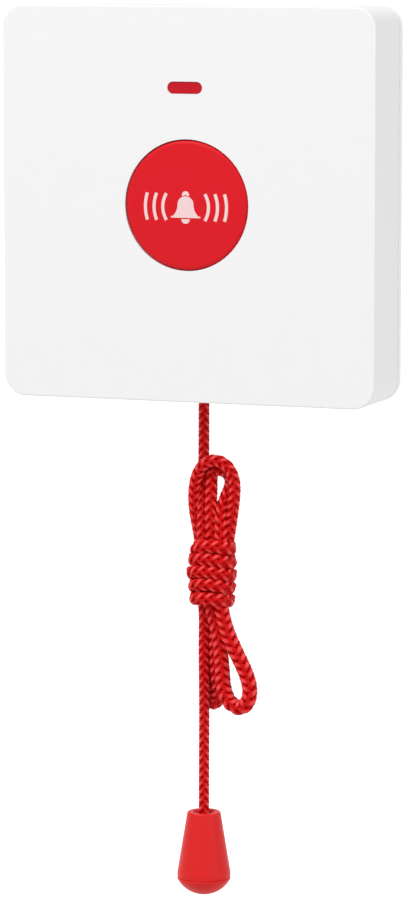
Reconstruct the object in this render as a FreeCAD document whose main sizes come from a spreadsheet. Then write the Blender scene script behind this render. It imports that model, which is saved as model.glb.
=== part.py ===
import FreeCAD
import Part
import Sketcher
import math
import os

from FreeCAD import Vector

# A square wall unit with a round call button and a pull cord. The cover snaps over a plate
# that is screwed to the wall. Inside are a circuit board with a coin cell, a push switch
# behind the button, and a slider on the cord whose wing trips a second switch. The cord
# leaves through a bush in the bottom wall, is wound into a hank and ends in a conical knob.
#
# All sizes are millimetres. The origin is the centre of the plate's back face, so the wall
# is the plane Y = 0. The front faces -Y, +Z is up and +X is to the right of the front.
# "depth" below always means the distance in front of the wall, along -Y.

SIZES = [
    ("case_side", 86.0, "width and height of the square case"),
    ("case_depth", 18.5, "from the wall to the front face"),
    ("case_corner", 4.8, "corner radius seen from the front"),
    ("front_round", 0.3, "rounding between the front face and the sides"),
    ("cover_wall", 2.0, "side walls of the cover"),
    ("face_wall", 2.0, "front wall of the cover"),
    ("plate_thick", 1.8, "wall plate"),
    ("seam_gap", 0.4, "between cover and plate, filled by the seal"),
    ("seam_setback", 0.2, "how far the seal lies inside the outline"),
    ("seal_width", 1.2, "width of the seal's section"),
    ("fit_gap", 0.3, "clearance between moulded parts"),
    ("lip_wall", 1.4, "thickness of the lip inside the cover"),
    ("lip_height", 3.0, "height of that lip"),
    ("lip_inside", 1.5, "corner radius inside that lip"),
    ("hook_reach", 0.8, "how far a snap hook stands out of the lip"),
    ("hook_length", 10.0, "length of a snap hook"),
    ("screw_spacing", 60.3, "distance between the two wall screws"),
    ("screw_hole", 4.2, "diameter of the wall screw holes"),
    ("land_width", 3.0, "raised ring round a wall screw hole"),
    ("land_height", 0.8, "height of that ring"),
    ("rib_wall", 1.2, "thickness of the plate's ribs"),
    ("rib_height", 1.4, "height of the plate's ribs"),
    ("rib_column", 18.0, "upright ribs, from the middle"),
    ("rib_row", 14.0, "level ribs, from the middle"),
    ("button_diameter", 28.3, "round call button"),
    ("button_gap", 0.15, "running gap round the button"),
    ("button_proud", 0.1, "how far its front stands out of the face beside its rounding"),
    ("button_crown", 0.4, "extra height of its middle"),
    ("button_round", 0.9, "rounding of its edge"),
    ("button_skin", 1.6, "thickness of its front"),
    ("skirt_wall", 1.6, "thickness of its skirt"),
    ("post_radius", 2.35, "post behind it that meets the push switch"),
    ("flange_reach", 1.25, "how far the retaining flange stands out"),
    ("flange_thick", 1.2, "thickness of that flange"),
    ("flange_gap", 0.2, "from the flange to the cover's face"),
    ("collar_wall", 1.4, "guide collar round the flange"),
    ("collar_height", 3.4, "height of that collar"),
    ("board_beside", 15.0, "from the cover's side walls to the board"),
    ("board_above", 4.0, "from the cover's top and bottom walls to the board"),
    ("board_thick", 1.6, "circuit board"),
    ("board_corner", 1.5, "corner radius of the board"),
    ("notch_width", 18.0, "notch in the board for the cord slider"),
    ("notch_gap", 0.6, "from the slide guide's tongue to the top of the notch"),
    ("boss_height", 3.9, "from the cover's face to the board"),
    ("boss_radius", 2.5, "screw bosses under the board"),
    ("boss_inset", 3.5, "boss centres from the board's edges"),
    ("pilot_radius", 0.8, "screw holes in the bosses"),
    ("pilot_floor", 0.4, "left under those holes"),
    ("thread_gap", 0.05, "round a screw's shank in its boss"),
    ("board_hole", 1.3, "radius of the holes in the board"),
    ("screw_head", 2.1, "radius of a small screw's head"),
    ("head_height", 1.3, "height of that head"),
    ("shank_length", 4.4, "length of the small screw's shank"),
    ("tact_side", 6.0, "square push switch"),
    ("tact_height", 2.0, "push switch body"),
    ("switch_corner", 0.5, "corner radius of both switches"),
    ("stem_radius", 1.75, "stem of the push switch"),
    ("stem_proud", 1.0, "stem above the switch body"),
    ("stem_length", 1.8, "whole stem"),
    ("slide_fit", 0.1, "radial clearance of a switch stem"),
    ("well_floor", 0.3, "left under the wells of both switches"),
    ("ring_width", 2.0, "silicone ring behind the button"),
    ("ring_inset", 0.4, "from the inside of the skirt to the ring"),
    ("ring_waist", 0.4, "how much the ring narrows at half height"),
    ("window_length", 8.1, "pill shaped window"),
    ("window_height", 2.65, "pill shaped window"),
    ("window_level", 25.4, "window above the middle"),
    ("window_offset", 0.4, "window left of the middle"),
    ("window_recess", 0.25, "window behind the face"),
    ("pipe_gap", 0.05, "round the light pipe in its hole"),
    ("pipe_flange", 1.0, "reach and thickness of the pipe's flange"),
    ("pipe_step", 0.2, "how much smaller the pipe's tail is all round"),
    ("led_length", 3.2, "indicator lamp"),
    ("led_width", 1.6, "indicator lamp"),
    ("led_height", 1.2, "indicator lamp"),
    ("led_gap", 0.3, "from the lamp to the light pipe"),
    ("led_step", 0.2, "how much smaller the lamp's lens is all round"),
    ("led_taper", 8.0, "slope of the lens, in degrees"),
    ("cell_diameter", 24.5, "coin cell"),
    ("cell_thick", 5.0, "coin cell"),
    ("cell_level", 18.0, "coin cell above the middle"),
    ("cell_gap", 0.25, "round the cell in its holder"),
    ("cell_round", 0.5, "rounding of the can's edge"),
    ("cap_height", 1.2, "from the cell's small cap to the top of the can"),
    ("crimp_reach", 1.0, "width of the crimped rim round that cap"),
    ("crimp_drop", 0.4, "how far the crimped rim slopes"),
    ("cap_slope", 0.6, "how much narrower the cap gets"),
    ("holder_wall", 1.1, "wall of the cell holder"),
    ("holder_floor", 1.1, "floor of the cell holder"),
    ("rim_drop", 0.6, "rim of the holder below the cell's face"),
    ("rim_opening", 12.0, "width of the gap in the rim for a fingertip"),
    ("clip_thick", 0.5, "sheet of the cell clip"),
    ("clip_width", 6.0, "width of the cell clip"),
    ("clip_foot", 1.5, "length of the clip's feet"),
    ("chip_side", 5.0, "radio chip"),
    ("chip_height", 0.9, "radio chip"),
    ("chip_column", 18.5, "radio chip left of the middle"),
    ("chip_row", 18.5, "radio chip below the middle"),
    ("can_length", 10.5, "crystal can"),
    ("can_width", 4.4, "crystal can"),
    ("can_height", 3.4, "crystal can"),
    ("can_round", 0.5, "rounding of the can's top"),
    ("can_column", 17.0, "crystal can left of the middle"),
    ("can_row", 26.0, "crystal can below the middle"),
    ("aerial_radius", 0.45, "aerial wire"),
    ("aerial_column", 20.0, "aerial left of the middle"),
    ("aerial_foot", 22.0, "foot of the aerial below the middle"),
    ("aerial_height", 46.0, "upright run of the aerial"),
    ("aerial_stand", 4.0, "aerial above the board"),
    ("aerial_bend", 2.0, "bend radius of the aerial"),
    ("cord_radius", 1.3, "braided cord"),
    ("cord_depth", 7.6, "cord's axis in front of the wall"),
    ("cord_gap", 0.2, "round the cord in the slider and the knob"),
    ("bush_radius", 3.0, "cord bush in the bottom wall"),
    ("bush_bore", 1.7, "radius of its bore"),
    ("bush_round", 0.6, "rounded mouths of the bore"),
    ("bush_flange", 0.9, "how far its rims stand out"),
    ("bush_lip", 0.6, "rim under the case"),
    ("bush_head", 0.8, "rim inside the case"),
    ("bush_fit", 0.05, "round the bush in the wall"),
    ("spring_length", 6.2, "spring between bush and slider"),
    ("spring_radius", 2.6, "mean radius of the spring"),
    ("spring_wire", 0.3, "radius of the wire"),
    ("spring_turns", 2.5, "turns of the spring"),
    ("pull_travel", 3.0, "how far the cord can be pulled"),
    ("slider_width", 8.0, "cord slider"),
    ("slider_depth", 5.6, "cord slider"),
    ("slider_height", 10.0, "cord slider"),
    ("slider_bevel", 0.5, "bevels of its upright edges"),
    ("knot_seat", 3.0, "depth of the slider's knot seat"),
    ("knot_radius", 2.4, "knots on the cord"),
    ("knot_height", 3.6, "knots on the cord"),
    ("knot_round", 0.6, "rounding of the knots"),
    ("wing_reach", 11.0, "wing beside the slider"),
    ("wing_root", 1.0, "how far the wing starts inside the slider"),
    ("wing_thick", 1.2, "thin end of the wing"),
    ("wing_height", 7.5, "wing's height"),
    ("wing_drop", 1.5, "wing's top below the slider's top"),
    ("ramp_length", 3.5, "sloping part of the wing, along Z"),
    ("ramp_land", 0.7, "flat part of the wing above the ramp"),
    ("ramp_slope", 0.3, "trip travel for each unit of pull"),
    ("ramp_delay", 0.3, "start of the ramp above the trip stem"),
    ("guide_side", 1.7, "side walls of the slide guide"),
    ("guide_wall", 1.0, "front and back walls of the slide guide"),
    ("guide_height", 16.4, "height of the slide guide"),
    ("guide_gap", 0.4, "from the plate's lip to the guide"),
    ("ear_height", 5.4, "tongue above the guide"),
    ("ear_screw", 5.0, "guide screws, from the middle"),
    ("ear_drop", 2.9, "guide screws below the top of the tongue"),
    ("ear_rim", 0.2, "tongue beside its bosses"),
    ("ear_hole", 1.1, "radius of the holes in the tongue"),
    ("guide_boss", 2.0, "radius of the bosses under the tongue"),
    ("switch_width", 7.0, "cord switch"),
    ("switch_height", 3.2, "cord switch above the board"),
    ("switch_column", 12.5, "cord switch right of the middle"),
    ("trip_radius", 1.0, "stem of the cord switch"),
    ("trip_length", 3.3, "stem of the cord switch"),
    ("trip_gap", 0.05, "from the stem to the ramp"),
    ("hank_drop", 31.9, "from the case to the top of the wrapped part"),
    ("hank_height", 14.9, "wrapped part of the hank"),
    ("hank_width", 11.6, "wrapped part of the hank"),
    ("hank_depth", 9.6, "wrapped part of the hank"),
    ("hank_shift", 1.75, "its middle right of the cord"),
    ("hank_round", 1.2, "rounding of the wrapped part"),
    ("hank_corner", 3.8, "corner radius of the wrapped part seen from above"),
    ("loop_root", 3.0, "how far the loops start inside the wrapped part"),
    ("loop_bevel", 0.8, "bevels of the loops above and below it"),
    ("loop_gap", 0.1, "between the narrow loop and the wide one"),
    ("channel_gap", 0.1, "round the cord where it runs down through the loops"),
    ("knob_drop", 93.1, "from the case to the top of the knob"),
    ("knob_height", 14.8, "knob without its cap"),
    ("knob_top", 3.7, "radius of the knob's top"),
    ("knob_radius", 5.95, "largest radius of the knob"),
    ("knob_band", 1.0, "straight band under the cone"),
    ("knob_mouth", 2.45, "radius of the hole in the knob's top"),
    ("mouth_depth", 1.6, "depth of the funnel in the knob's top"),
    ("throat_length", 3.3, "narrow bore of the knob"),
    ("knob_hollow", 3.6, "radius of the hollow in the knob"),
    ("knob_round", 0.5, "rounding of the knob's top rim"),
    ("cap_band", 0.45, "straight edge of the knob's cap"),
    ("cap_dome", 3.6, "rounded bottom of the cap"),
    ("cap_spigot", 2.2, "spigot of the cap inside the knob"),
    ("cap_fit", 0.1, "round that spigot"),
    ("seam_bevel", 0.15, "bevels that form the knob's seam line"),
]

doc = FreeCAD.newDocument("panic_button")
sheet = doc.addObject("Spreadsheet::Sheet", "Sizes")
for row, (alias, mm, note) in enumerate(SIZES, start=1):
    sheet.set("A%d" % row, alias)
    sheet.set("B%d" % row, str(mm))
    sheet.set("C%d" % row, note)
    sheet.setAlias("B%d" % row, alias)
doc.recompute()


class Size:
    """A length with its number and the sheet expression that gives it."""

    def __init__(self, number, text):
        self.number = number
        self.text = text

    def __add__(self, other):
        other = as_size(other)
        return Size(self.number + other.number, "(%s + %s)" % (self.text, other.text))

    def __sub__(self, other):
        other = as_size(other)
        return Size(self.number - other.number, "(%s - %s)" % (self.text, other.text))

    def __mul__(self, other):
        other = as_size(other)
        return Size(self.number * other.number, "(%s * %s)" % (self.text, other.text))

    def __truediv__(self, other):
        other = as_size(other)
        return Size(self.number / other.number, "(%s / %s)" % (self.text, other.text))

    def __neg__(self):
        return Size(-self.number, "(0 - %s)" % self.text)

    def __radd__(self, other):
        return as_size(other) + self

    def __rsub__(self, other):
        return as_size(other) - self

    def __rmul__(self, other):
        return as_size(other) * self


def as_size(value):
    if isinstance(value, Size):
        return value
    return Size(float(value), repr(float(value)))


def cell(alias):
    return Size(float(getattr(sheet, alias)), "Sizes.%s" % alias)


def bind(thing, path, value):
    """Give one property of an object its sheet expression."""
    thing.setExpression(path, as_size(value).text)


ZERO = as_size(0)
SPARE = as_size(0.1)   # how far a cut, or the root of a shape, runs past a surface

# Helpers for bodies, sketches and features

parts = []


def new_body(name):
    body = doc.addObject("PartDesign::Body", name)
    body.Label = name
    parts.append(body)
    return body


def new_sketch(body, name, role, offset=ZERO):
    """Put a sketch on one of the body's own planes, offset along the plane's normal."""
    plane = [item for item in body.Origin.OriginFeatures if item.Role == role][0]
    sketch = body.newObject("Sketcher::SketchObject", name)
    sketch.AttachmentSupport = [(plane, "")]
    sketch.MapMode = "FlatFace"
    bind(sketch, ".AttachmentOffset.Base.z", offset)
    return sketch


def front_sketch(body, name, depth=ZERO):
    """A sketch that faces the viewer at this depth: its x is X, its y is Z."""
    return new_sketch(body, name, "XZ_Plane", depth)


def level_sketch(body, name, height=ZERO):
    """A level sketch at this height: its x is X, its y is Y."""
    return new_sketch(body, name, "XY_Plane", height)


def side_sketch(body, name, across=ZERO):
    """A sketch seen from the right at this X: its x is Y, its y is Z."""
    return new_sketch(body, name, "YZ_Plane", across)


def pin_along(sketch, geometry, end, kind, value, axis):
    if value.number == 0:
        sketch.addConstraint(Sketcher.Constraint("PointOnObject", geometry, end, axis))
    else:
        made = Sketcher.Constraint(kind, -1, 1, geometry, end, value.number)
        bind(sketch, "Constraints[%d]" % sketch.addConstraint(made), value)


def pin_x(sketch, geometry, end, x):
    """Hold one end of a line or arc, or a circle's centre, at x."""
    pin_along(sketch, geometry, end, "DistanceX", x, -2)


def pin_y(sketch, geometry, end, y):
    pin_along(sketch, geometry, end, "DistanceY", y, -1)


def pin_point(sketch, geometry, end, x, y):
    pin_x(sketch, geometry, end, x)
    pin_y(sketch, geometry, end, y)


def fix_radius(sketch, geometry, radius):
    made = Sketcher.Constraint("Radius", geometry, radius.number)
    bind(sketch, "Constraints[%d]" % sketch.addConstraint(made), radius)


def draw_circle(sketch, x, y, radius):
    x, y, radius = as_size(x), as_size(y), as_size(radius)
    centre = Vector(x.number, y.number, 0)
    made = sketch.addGeometry(Part.Circle(centre, Vector(0, 0, 1), radius.number), False)
    pin_point(sketch, made, 3, x, y)
    fix_radius(sketch, made, radius)


def arc_between(start, end, radius):
    """The short arc from start to end. A positive radius keeps its centre on the left."""
    chord = end - start
    middle = (start + end) * 0.5
    rise = math.sqrt(max(radius * radius - chord.Length ** 2 / 4, 0))
    left = Vector(-chord.y, chord.x, 0).normalize()
    centre = middle + left * math.copysign(rise, radius)
    first, last = (start, end) if radius > 0 else (end, start)
    first_angle = math.atan2(first.y - centre.y, first.x - centre.x)
    last_angle = math.atan2(last.y - centre.y, last.x - centre.x)
    circle = Part.Circle(centre, Vector(0, 0, 1), abs(radius))
    return Part.ArcOfCircle(circle, first_angle, last_angle)


def draw_outline(sketch, corners, arcs=None):
    """Draw a closed outline through the corners.

    arcs gives a radius for each corner index whose edge to the next corner is an arc.
    """
    arcs = arcs or {}
    corners = [(as_size(x), as_size(y)) for x, y in corners]
    places = [Vector(x.number, y.number, 0) for x, y in corners]
    edges = []
    for index, place in enumerate(places):
        following = places[(index + 1) % len(places)]
        if index in arcs:
            radius = as_size(arcs[index])
            made = sketch.addGeometry(arc_between(place, following, radius.number), False)
            begin, end = (1, 2) if radius.number > 0 else (2, 1)
        else:
            made = sketch.addGeometry(Part.LineSegment(place, following), False)
            begin, end = 1, 2
        edges.append((made, begin, end))
    for index, (made, begin, end) in enumerate(edges):
        other, other_begin, other_end = edges[(index + 1) % len(edges)]
        sketch.addConstraint(Sketcher.Constraint("Coincident", made, end, other, other_begin))
        pin_point(sketch, made, begin, *corners[index])
        if index in arcs:
            radius = as_size(arcs[index])
            fix_radius(sketch, made, radius if radius.number > 0 else -radius)


def draw_box(sketch, left, bottom, right, top):
    draw_outline(sketch, [(left, bottom), (right, bottom), (right, top), (left, top)])


def draw_round_box(sketch, width, height, radius, x=ZERO, y=ZERO):
    """A rectangle with rounded corners, centred on x, y."""
    x, y = as_size(x), as_size(y)
    radius = as_size(radius)
    left, right = x - width / 2, x + width / 2
    low, high = y - height / 2, y + height / 2
    corners = [
        (left + radius, low), (right - radius, low),
        (right, low + radius), (right, high - radius),
        (right - radius, high), (left + radius, high),
        (left, high - radius), (left, low + radius),
    ]
    draw_outline(sketch, corners, {1: radius, 3: radius, 5: radius, 7: radius})


def draw_pill(sketch, length, height, x=ZERO, y=ZERO):
    """A level slot with round ends, centred on x, y."""
    x, y = as_size(x), as_size(y)
    bend = height / 2
    left, right = x - length / 2 + bend, x + length / 2 - bend
    low, high = (y - bend).number, (y + bend).number
    low_line = sketch.addGeometry(
        Part.LineSegment(Vector(left.number, low, 0), Vector(right.number, low, 0)), False)
    high_line = sketch.addGeometry(
        Part.LineSegment(Vector(right.number, high, 0), Vector(left.number, high, 0)), False)
    arcs = []
    for middle, start in ((right, -math.pi / 2), (left, math.pi / 2)):
        circle = Part.Circle(Vector(middle.number, y.number, 0), Vector(0, 0, 1), bend.number)
        arcs.append(sketch.addGeometry(Part.ArcOfCircle(circle, start, start + math.pi), False))
    right_arc, left_arc = arcs
    for first, second in (
        (low_line, right_arc), (right_arc, high_line), (high_line, left_arc), (left_arc, low_line),
    ):
        sketch.addConstraint(Sketcher.Constraint("Coincident", first, 2, second, 1))
    for arc, middle in ((right_arc, right), (left_arc, left)):
        pin_point(sketch, arc, 3, middle, y)
        fix_radius(sketch, arc, bend)
        pin_x(sketch, arc, 1, middle)
        pin_x(sketch, arc, 2, middle)


def pad(body, sketch, length, backwards=False, centred=False):
    """Add material along the sketch's normal, or against it."""
    feature = body.newObject("PartDesign::Pad", sketch.Name + "_pad")
    feature.Profile = sketch
    bind(feature, "Length", length)
    feature.Reversed = backwards
    feature.Midplane = centred
    return feature


def pocket(body, sketch, length, forwards=True, centred=False):
    """Cut away material along the sketch's normal (forwards) or against it."""
    before = solid_volume(body)
    feature = body.newObject("PartDesign::Pocket", sketch.Name + "_pocket")
    feature.Profile = sketch
    bind(feature, "Length", length)
    feature.Reversed = forwards
    feature.Midplane = centred
    check_cut(body, feature, before)
    return feature


def solid_volume(body):
    doc.recompute()
    return body.Shape.Volume


def check_cut(body, feature, before):
    """A cut that points away from its solid removes nothing, so stop there."""
    doc.recompute()
    if not feature.Shape.Volume < before - 1e-6:
        raise RuntimeError("%s in %s cuts nothing" % (feature.Name, body.Name))


def revolve(body, sketch):
    """Turn a closed outline about the sketch's own upright axis."""
    feature = body.newObject("PartDesign::Revolution", sketch.Name + "_turned")
    feature.Profile = sketch
    feature.ReferenceAxis = (sketch, ["V_Axis"])
    return feature


def mirror_left(body, feature):
    """Repeat a feature on the other side of the plane X = 0."""
    plane = [item for item in body.Origin.OriginFeatures if item.Role == "YZ_Plane"][0]
    mirror = body.newObject("PartDesign::Mirrored", feature.Name + "_mirror")
    mirror.Originals = [feature]
    mirror.MirrorPlane = (plane, [""])
    body.Tip = mirror
    return mirror


def edges_where(feature, wanted):
    """Names of a feature's edges whose middle point and direction pass a test."""
    doc.recompute()
    names = []
    for index, edge in enumerate(feature.Shape.Edges, start=1):
        middle = edge.valueAt((edge.FirstParameter + edge.LastParameter) / 2)
        if wanted(edge, middle):
            names.append("Edge%d" % index)
    if not names:
        raise RuntimeError("no edge to round on %s" % feature.Name)
    return names


def round_edges(body, feature, radius, wanted):
    made = body.newObject("PartDesign::Fillet", feature.Name + "_round")
    made.Base = (feature, edges_where(feature, wanted))
    bind(made, "Radius", radius)
    return made


def bevel_edges(body, feature, size, wanted):
    made = body.newObject("PartDesign::Chamfer", feature.Name + "_bevel")
    made.Base = (feature, edges_where(feature, wanted))
    bind(made, "Size", size)
    return made


def near(first, second):
    return abs(first - second) < 1e-4


# Places that several pieces share

side = cell("case_side")
half_side = side / 2
case_depth = cell("case_depth")
wall = cell("cover_wall")
fit_gap = cell("fit_gap")
plate_thick = cell("plate_thick")
cover_back = plate_thick + cell("seam_gap")
face_back = case_depth - cell("face_wall")
inner_half = half_side - wall
inner_corner = cell("case_corner") - wall
lip_side = side - wall * 2 - fit_gap * 2
lip_corner = inner_corner - fit_gap
hook_depth = plate_thick + cell("lip_height") * 0.4
hook_base = cell("lip_height") * 0.55

board_front = face_back - cell("boss_height")
board_back = board_front - cell("board_thick")
board_half = inner_half - cell("board_beside")
board_high = inner_half - cell("board_above")
boss_x = board_half - cell("boss_inset")
boss_z = board_high - cell("boss_inset")

window_x = -cell("window_offset")
button_radius = cell("button_diameter") / 2
skirt_inside = button_radius - cell("skirt_wall")
flange_radius = button_radius + cell("flange_reach")
flange_front = face_back - cell("flange_gap")
flange_back = flange_front - cell("flange_thick")
button_edge = case_depth + cell("button_proud")
stem_tip = board_front + cell("tact_height") + cell("stem_proud")

cord_radius = cell("cord_radius")
cord_depth = cell("cord_depth")
bush_top = -half_side + wall + cell("bush_head")
slider_low = bush_top + cell("spring_length")
slider_top = slider_low + cell("slider_height")
slider_half = cell("slider_width") / 2
slider_back = cord_depth - cell("slider_depth") / 2
slider_front = cord_depth + cell("slider_depth") / 2
knot_base = slider_top - cell("knot_seat")

guide_half = slider_half + fit_gap + cell("guide_side")
lip_level = -(lip_side / 2 - cell("lip_wall"))
guide_low = lip_level + cell("guide_gap")
guide_top = guide_low + cell("guide_height")
guide_front = slider_front + fit_gap + cell("guide_wall")
guide_back = slider_back - fit_gap - cell("guide_wall")
ear_level = guide_top + cell("ear_height") - cell("ear_drop")

wing_top = slider_top - cell("wing_drop")
wing_low = wing_top - cell("wing_height")
ramp_low_front = slider_back + cell("wing_thick")
ramp_rise = cell("ramp_length") * cell("ramp_slope")
ramp_start = wing_top - cell("ramp_land") - cell("ramp_length")
switch_level = ramp_start - cell("ramp_delay")
switch_back = board_back - cell("switch_height")
trip_tip = ramp_low_front + cell("trip_gap")

hank_top = -half_side - cell("hank_drop")
hank_low = hank_top - cell("hank_height")
knob_top = -half_side - cell("knob_drop")
knob_low = knob_top - cell("knob_height")
throat_low = knob_top - cell("mouth_depth") - cell("throat_length")


# The plate on the wall and the seal in the seam

def make_wall_plate():
    body = new_body("wall_plate")
    outline = front_sketch(body, "plate_outline")
    draw_round_box(outline, side, side, cell("case_corner"))
    pad(body, outline, plate_thick)

    lip = front_sketch(body, "plate_lip", plate_thick)
    draw_round_box(lip, lip_side, lip_side, lip_corner)
    lip_inside = lip_side - cell("lip_wall") * 2
    draw_round_box(lip, lip_inside, lip_inside, cell("lip_inside"))
    pad(body, lip, cell("lip_height"))
    notch = front_sketch(body, "cord_notch", plate_thick)
    notch_half = cell("bush_radius") + cell("bush_flange") + fit_gap
    draw_box(notch, -notch_half, -lip_side / 2 - SPARE, notch_half, lip_level + SPARE)
    pocket(body, notch, cell("lip_height"))

    hook = level_sketch(body, "plate_hook")
    lip_face = lip_side / 2
    reach = cell("hook_reach")
    hook_top = hook_depth + hook_base
    draw_outline(hook, [
        (lip_face - SPARE, -hook_depth), (lip_face + reach, -hook_depth),
        (lip_face, -hook_top), (lip_face - SPARE, -hook_top),
    ])
    hooks = pad(body, hook, cell("hook_length"), centred=True)
    mirror_left(body, hooks)

    ribs = front_sketch(body, "plate_ribs", plate_thick)
    rib = cell("rib_wall") / 2
    column, row = cell("rib_column"), cell("rib_row")
    end = lip_side / 2 - cell("lip_wall") / 2
    draw_outline(ribs, [
        (column - rib, row + rib), (column - rib, end), (column + rib, end),
        (column + rib, row + rib), (end, row + rib), (end, row - rib),
        (column + rib, row - rib), (column + rib, -row + rib), (end, -row + rib),
        (end, -row - rib), (column + rib, -row - rib), (column + rib, -end),
        (column - rib, -end), (column - rib, -row - rib), (-column + rib, -row - rib),
        (-column + rib, -end), (-column - rib, -end), (-column - rib, -row - rib),
        (-end, -row - rib), (-end, -row + rib), (-column - rib, -row + rib),
        (-column - rib, row - rib), (-end, row - rib), (-end, row + rib),
        (-column - rib, row + rib), (-column - rib, end), (-column + rib, end),
        (-column + rib, row + rib),
    ])
    draw_box(ribs, -column + rib, -row + rib, column - rib, row - rib)
    pad(body, ribs, cell("rib_height"))

    lands = front_sketch(body, "screw_lands", plate_thick)
    hole = cell("screw_hole") / 2
    for x in (-cell("screw_spacing") / 2, cell("screw_spacing") / 2):
        draw_circle(lands, x, ZERO, hole + cell("land_width"))
    pad(body, lands, cell("land_height"))
    holes = front_sketch(body, "screw_holes")
    for x in (-cell("screw_spacing") / 2, cell("screw_spacing") / 2):
        draw_circle(holes, x, ZERO, hole)
    pocket(body, holes, plate_thick + cell("land_height"))


def make_rim_seal():
    body = new_body("rim_seal")
    ring = front_sketch(body, "seal_ring", plate_thick)
    outside = side - cell("seam_setback") * 2
    inside = outside - cell("seal_width") * 2
    corner = cell("case_corner") - cell("seam_setback")
    draw_round_box(ring, outside, outside, corner)
    draw_round_box(ring, inside, inside, corner - cell("seal_width"))
    pad(body, ring, cell("seam_gap"))


# The front cover with everything that is moulded into it

def make_front_cover():
    body = new_body("front_cover")
    outline = front_sketch(body, "cover_outline", cover_back)
    draw_round_box(outline, side, side, cell("case_corner"))
    block = pad(body, outline, case_depth - cover_back)
    face = -case_depth.number
    round_edges(
        body, block, cell("front_round"), lambda edge, middle: near(middle.y, face))

    cavity = front_sketch(body, "cover_cavity", cover_back)
    draw_round_box(cavity, inner_half * 2, inner_half * 2, inner_corner)
    pocket(body, cavity, face_back - cover_back)

    collar = front_sketch(body, "button_collar", face_back)
    inside = flange_radius + fit_gap
    draw_circle(collar, ZERO, ZERO, inside + cell("collar_wall"))
    draw_circle(collar, ZERO, ZERO, inside)
    pad(body, collar, cell("collar_height"), backwards=True)

    bosses = front_sketch(body, "board_bosses", face_back)
    pilots = front_sketch(body, "pilot_holes", board_front)
    for x in (-boss_x, boss_x):
        for z in (-boss_z, boss_z):
            draw_circle(bosses, x, z, cell("boss_radius"))
            draw_circle(pilots, x, z, cell("pilot_radius"))
    pad(body, bosses, cell("boss_height"), backwards=True)

    guide_bosses = front_sketch(body, "guide_bosses", face_back)
    guide_pilots = front_sketch(body, "guide_pilots", guide_front)
    for x in (-cell("ear_screw"), cell("ear_screw")):
        draw_circle(guide_bosses, x, ear_level, cell("guide_boss"))
        draw_circle(guide_pilots, x, ear_level, cell("pilot_radius"))
    pad(body, guide_bosses, face_back - guide_front, backwards=True)
    pocket(body, pilots, cell("boss_height") - cell("pilot_floor"))
    pocket(body, guide_pilots, face_back - guide_front)

    button_hole = front_sketch(body, "button_hole", face_back)
    draw_circle(button_hole, ZERO, ZERO, button_radius + cell("button_gap"))
    pocket(body, button_hole, cell("face_wall"))

    window = front_sketch(body, "window_hole", face_back)
    draw_pill(
        window, cell("window_length"), cell("window_height"), window_x, cell("window_level"))
    pocket(body, window, cell("face_wall"))

    bush_hole = level_sketch(body, "bush_hole", -half_side)
    draw_circle(bush_hole, ZERO, -cord_depth, cell("bush_radius") + cell("bush_fit"))
    pocket(body, bush_hole, wall + SPARE)

    recess = level_sketch(body, "hook_recess")
    draw_box(
        recess, inner_half - SPARE, -hook_depth - hook_base - fit_gap,
        lip_side / 2 + cell("hook_reach") + fit_gap, -hook_depth + fit_gap)
    cut = pocket(body, recess, cell("hook_length") + fit_gap * 2, centred=True)
    mirror_left(body, cut)


# The call button, its return ring and the switch behind it

def make_call_button():
    body = new_body("call_button")
    profile = level_sketch(body, "button_profile")
    rim = button_radius - cell("button_round")
    rise = cell("button_crown")
    crown_radius = (rim * rim + rise * rise) / (rise * 2)
    draw_outline(profile, [
        (ZERO, -button_edge - rise), (rim, -button_edge),
        (button_radius, -button_edge + cell("button_round")),
        (button_radius, -flange_front), (flange_radius, -flange_front),
        (flange_radius, -flange_back), (skirt_inside, -flange_back),
        (skirt_inside, -button_edge + cell("button_skin")),
        (cell("post_radius"), -button_edge + cell("button_skin")),
        (cell("post_radius"), -stem_tip), (ZERO, -stem_tip),
    ], {0: crown_radius, 1: cell("button_round")})
    revolve(body, profile)


def make_return_ring():
    body = new_body("return_ring")
    profile = level_sketch(body, "ring_profile")
    inside = skirt_inside + cell("ring_inset")
    outside = inside + cell("ring_width")
    waist = cell("ring_waist")
    middle = (board_front + flange_back) / 2
    draw_outline(profile, [
        (inside, -board_front), (inside + waist, -middle), (inside, -flange_back),
        (outside, -flange_back), (outside - waist, -middle), (outside, -board_front),
    ])
    revolve(body, profile)


def make_tact_switch():
    body = new_body("tact_switch")
    base = front_sketch(body, "tact_base", board_front)
    draw_round_box(base, cell("tact_side"), cell("tact_side"), cell("switch_corner"))
    pad(body, base, cell("tact_height"))
    well = front_sketch(body, "tact_well", board_front + cell("well_floor"))
    draw_circle(well, ZERO, ZERO, cell("stem_radius") + cell("slide_fit"))
    pocket(body, well, cell("tact_height") - cell("well_floor"))


def make_tact_stem():
    body = new_body("tact_stem")
    section = front_sketch(body, "stem_section", stem_tip - cell("stem_length"))
    draw_circle(section, ZERO, ZERO, cell("stem_radius"))
    pad(body, section, cell("stem_length"))


# The window and the lamp behind it

def make_light_pipe():
    body = new_body("light_pipe")
    gap = cell("pipe_gap") * 2
    level = cell("window_level")
    length = cell("window_length") - gap
    height = cell("window_height") - gap
    lens = front_sketch(body, "pipe_lens", face_back - cell("pipe_flange"))
    draw_pill(lens, length, height, window_x, level)
    pad(body, lens, case_depth - cell("window_recess") - face_back + cell("pipe_flange"))
    flange = front_sketch(body, "pipe_flange", face_back - cell("pipe_flange"))
    reach = cell("pipe_flange") * 2
    draw_pill(flange, length + reach, height + reach, window_x, level)
    pad(body, flange, cell("pipe_flange"))
    tail = front_sketch(body, "pipe_tail", face_back - cell("pipe_flange"))
    step = cell("pipe_step") * 2
    draw_pill(tail, length - step, height - step, window_x, level)
    lamp_front = board_front + cell("led_height") + cell("led_gap")
    pad(body, tail, face_back - cell("pipe_flange") - lamp_front, backwards=True)


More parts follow.
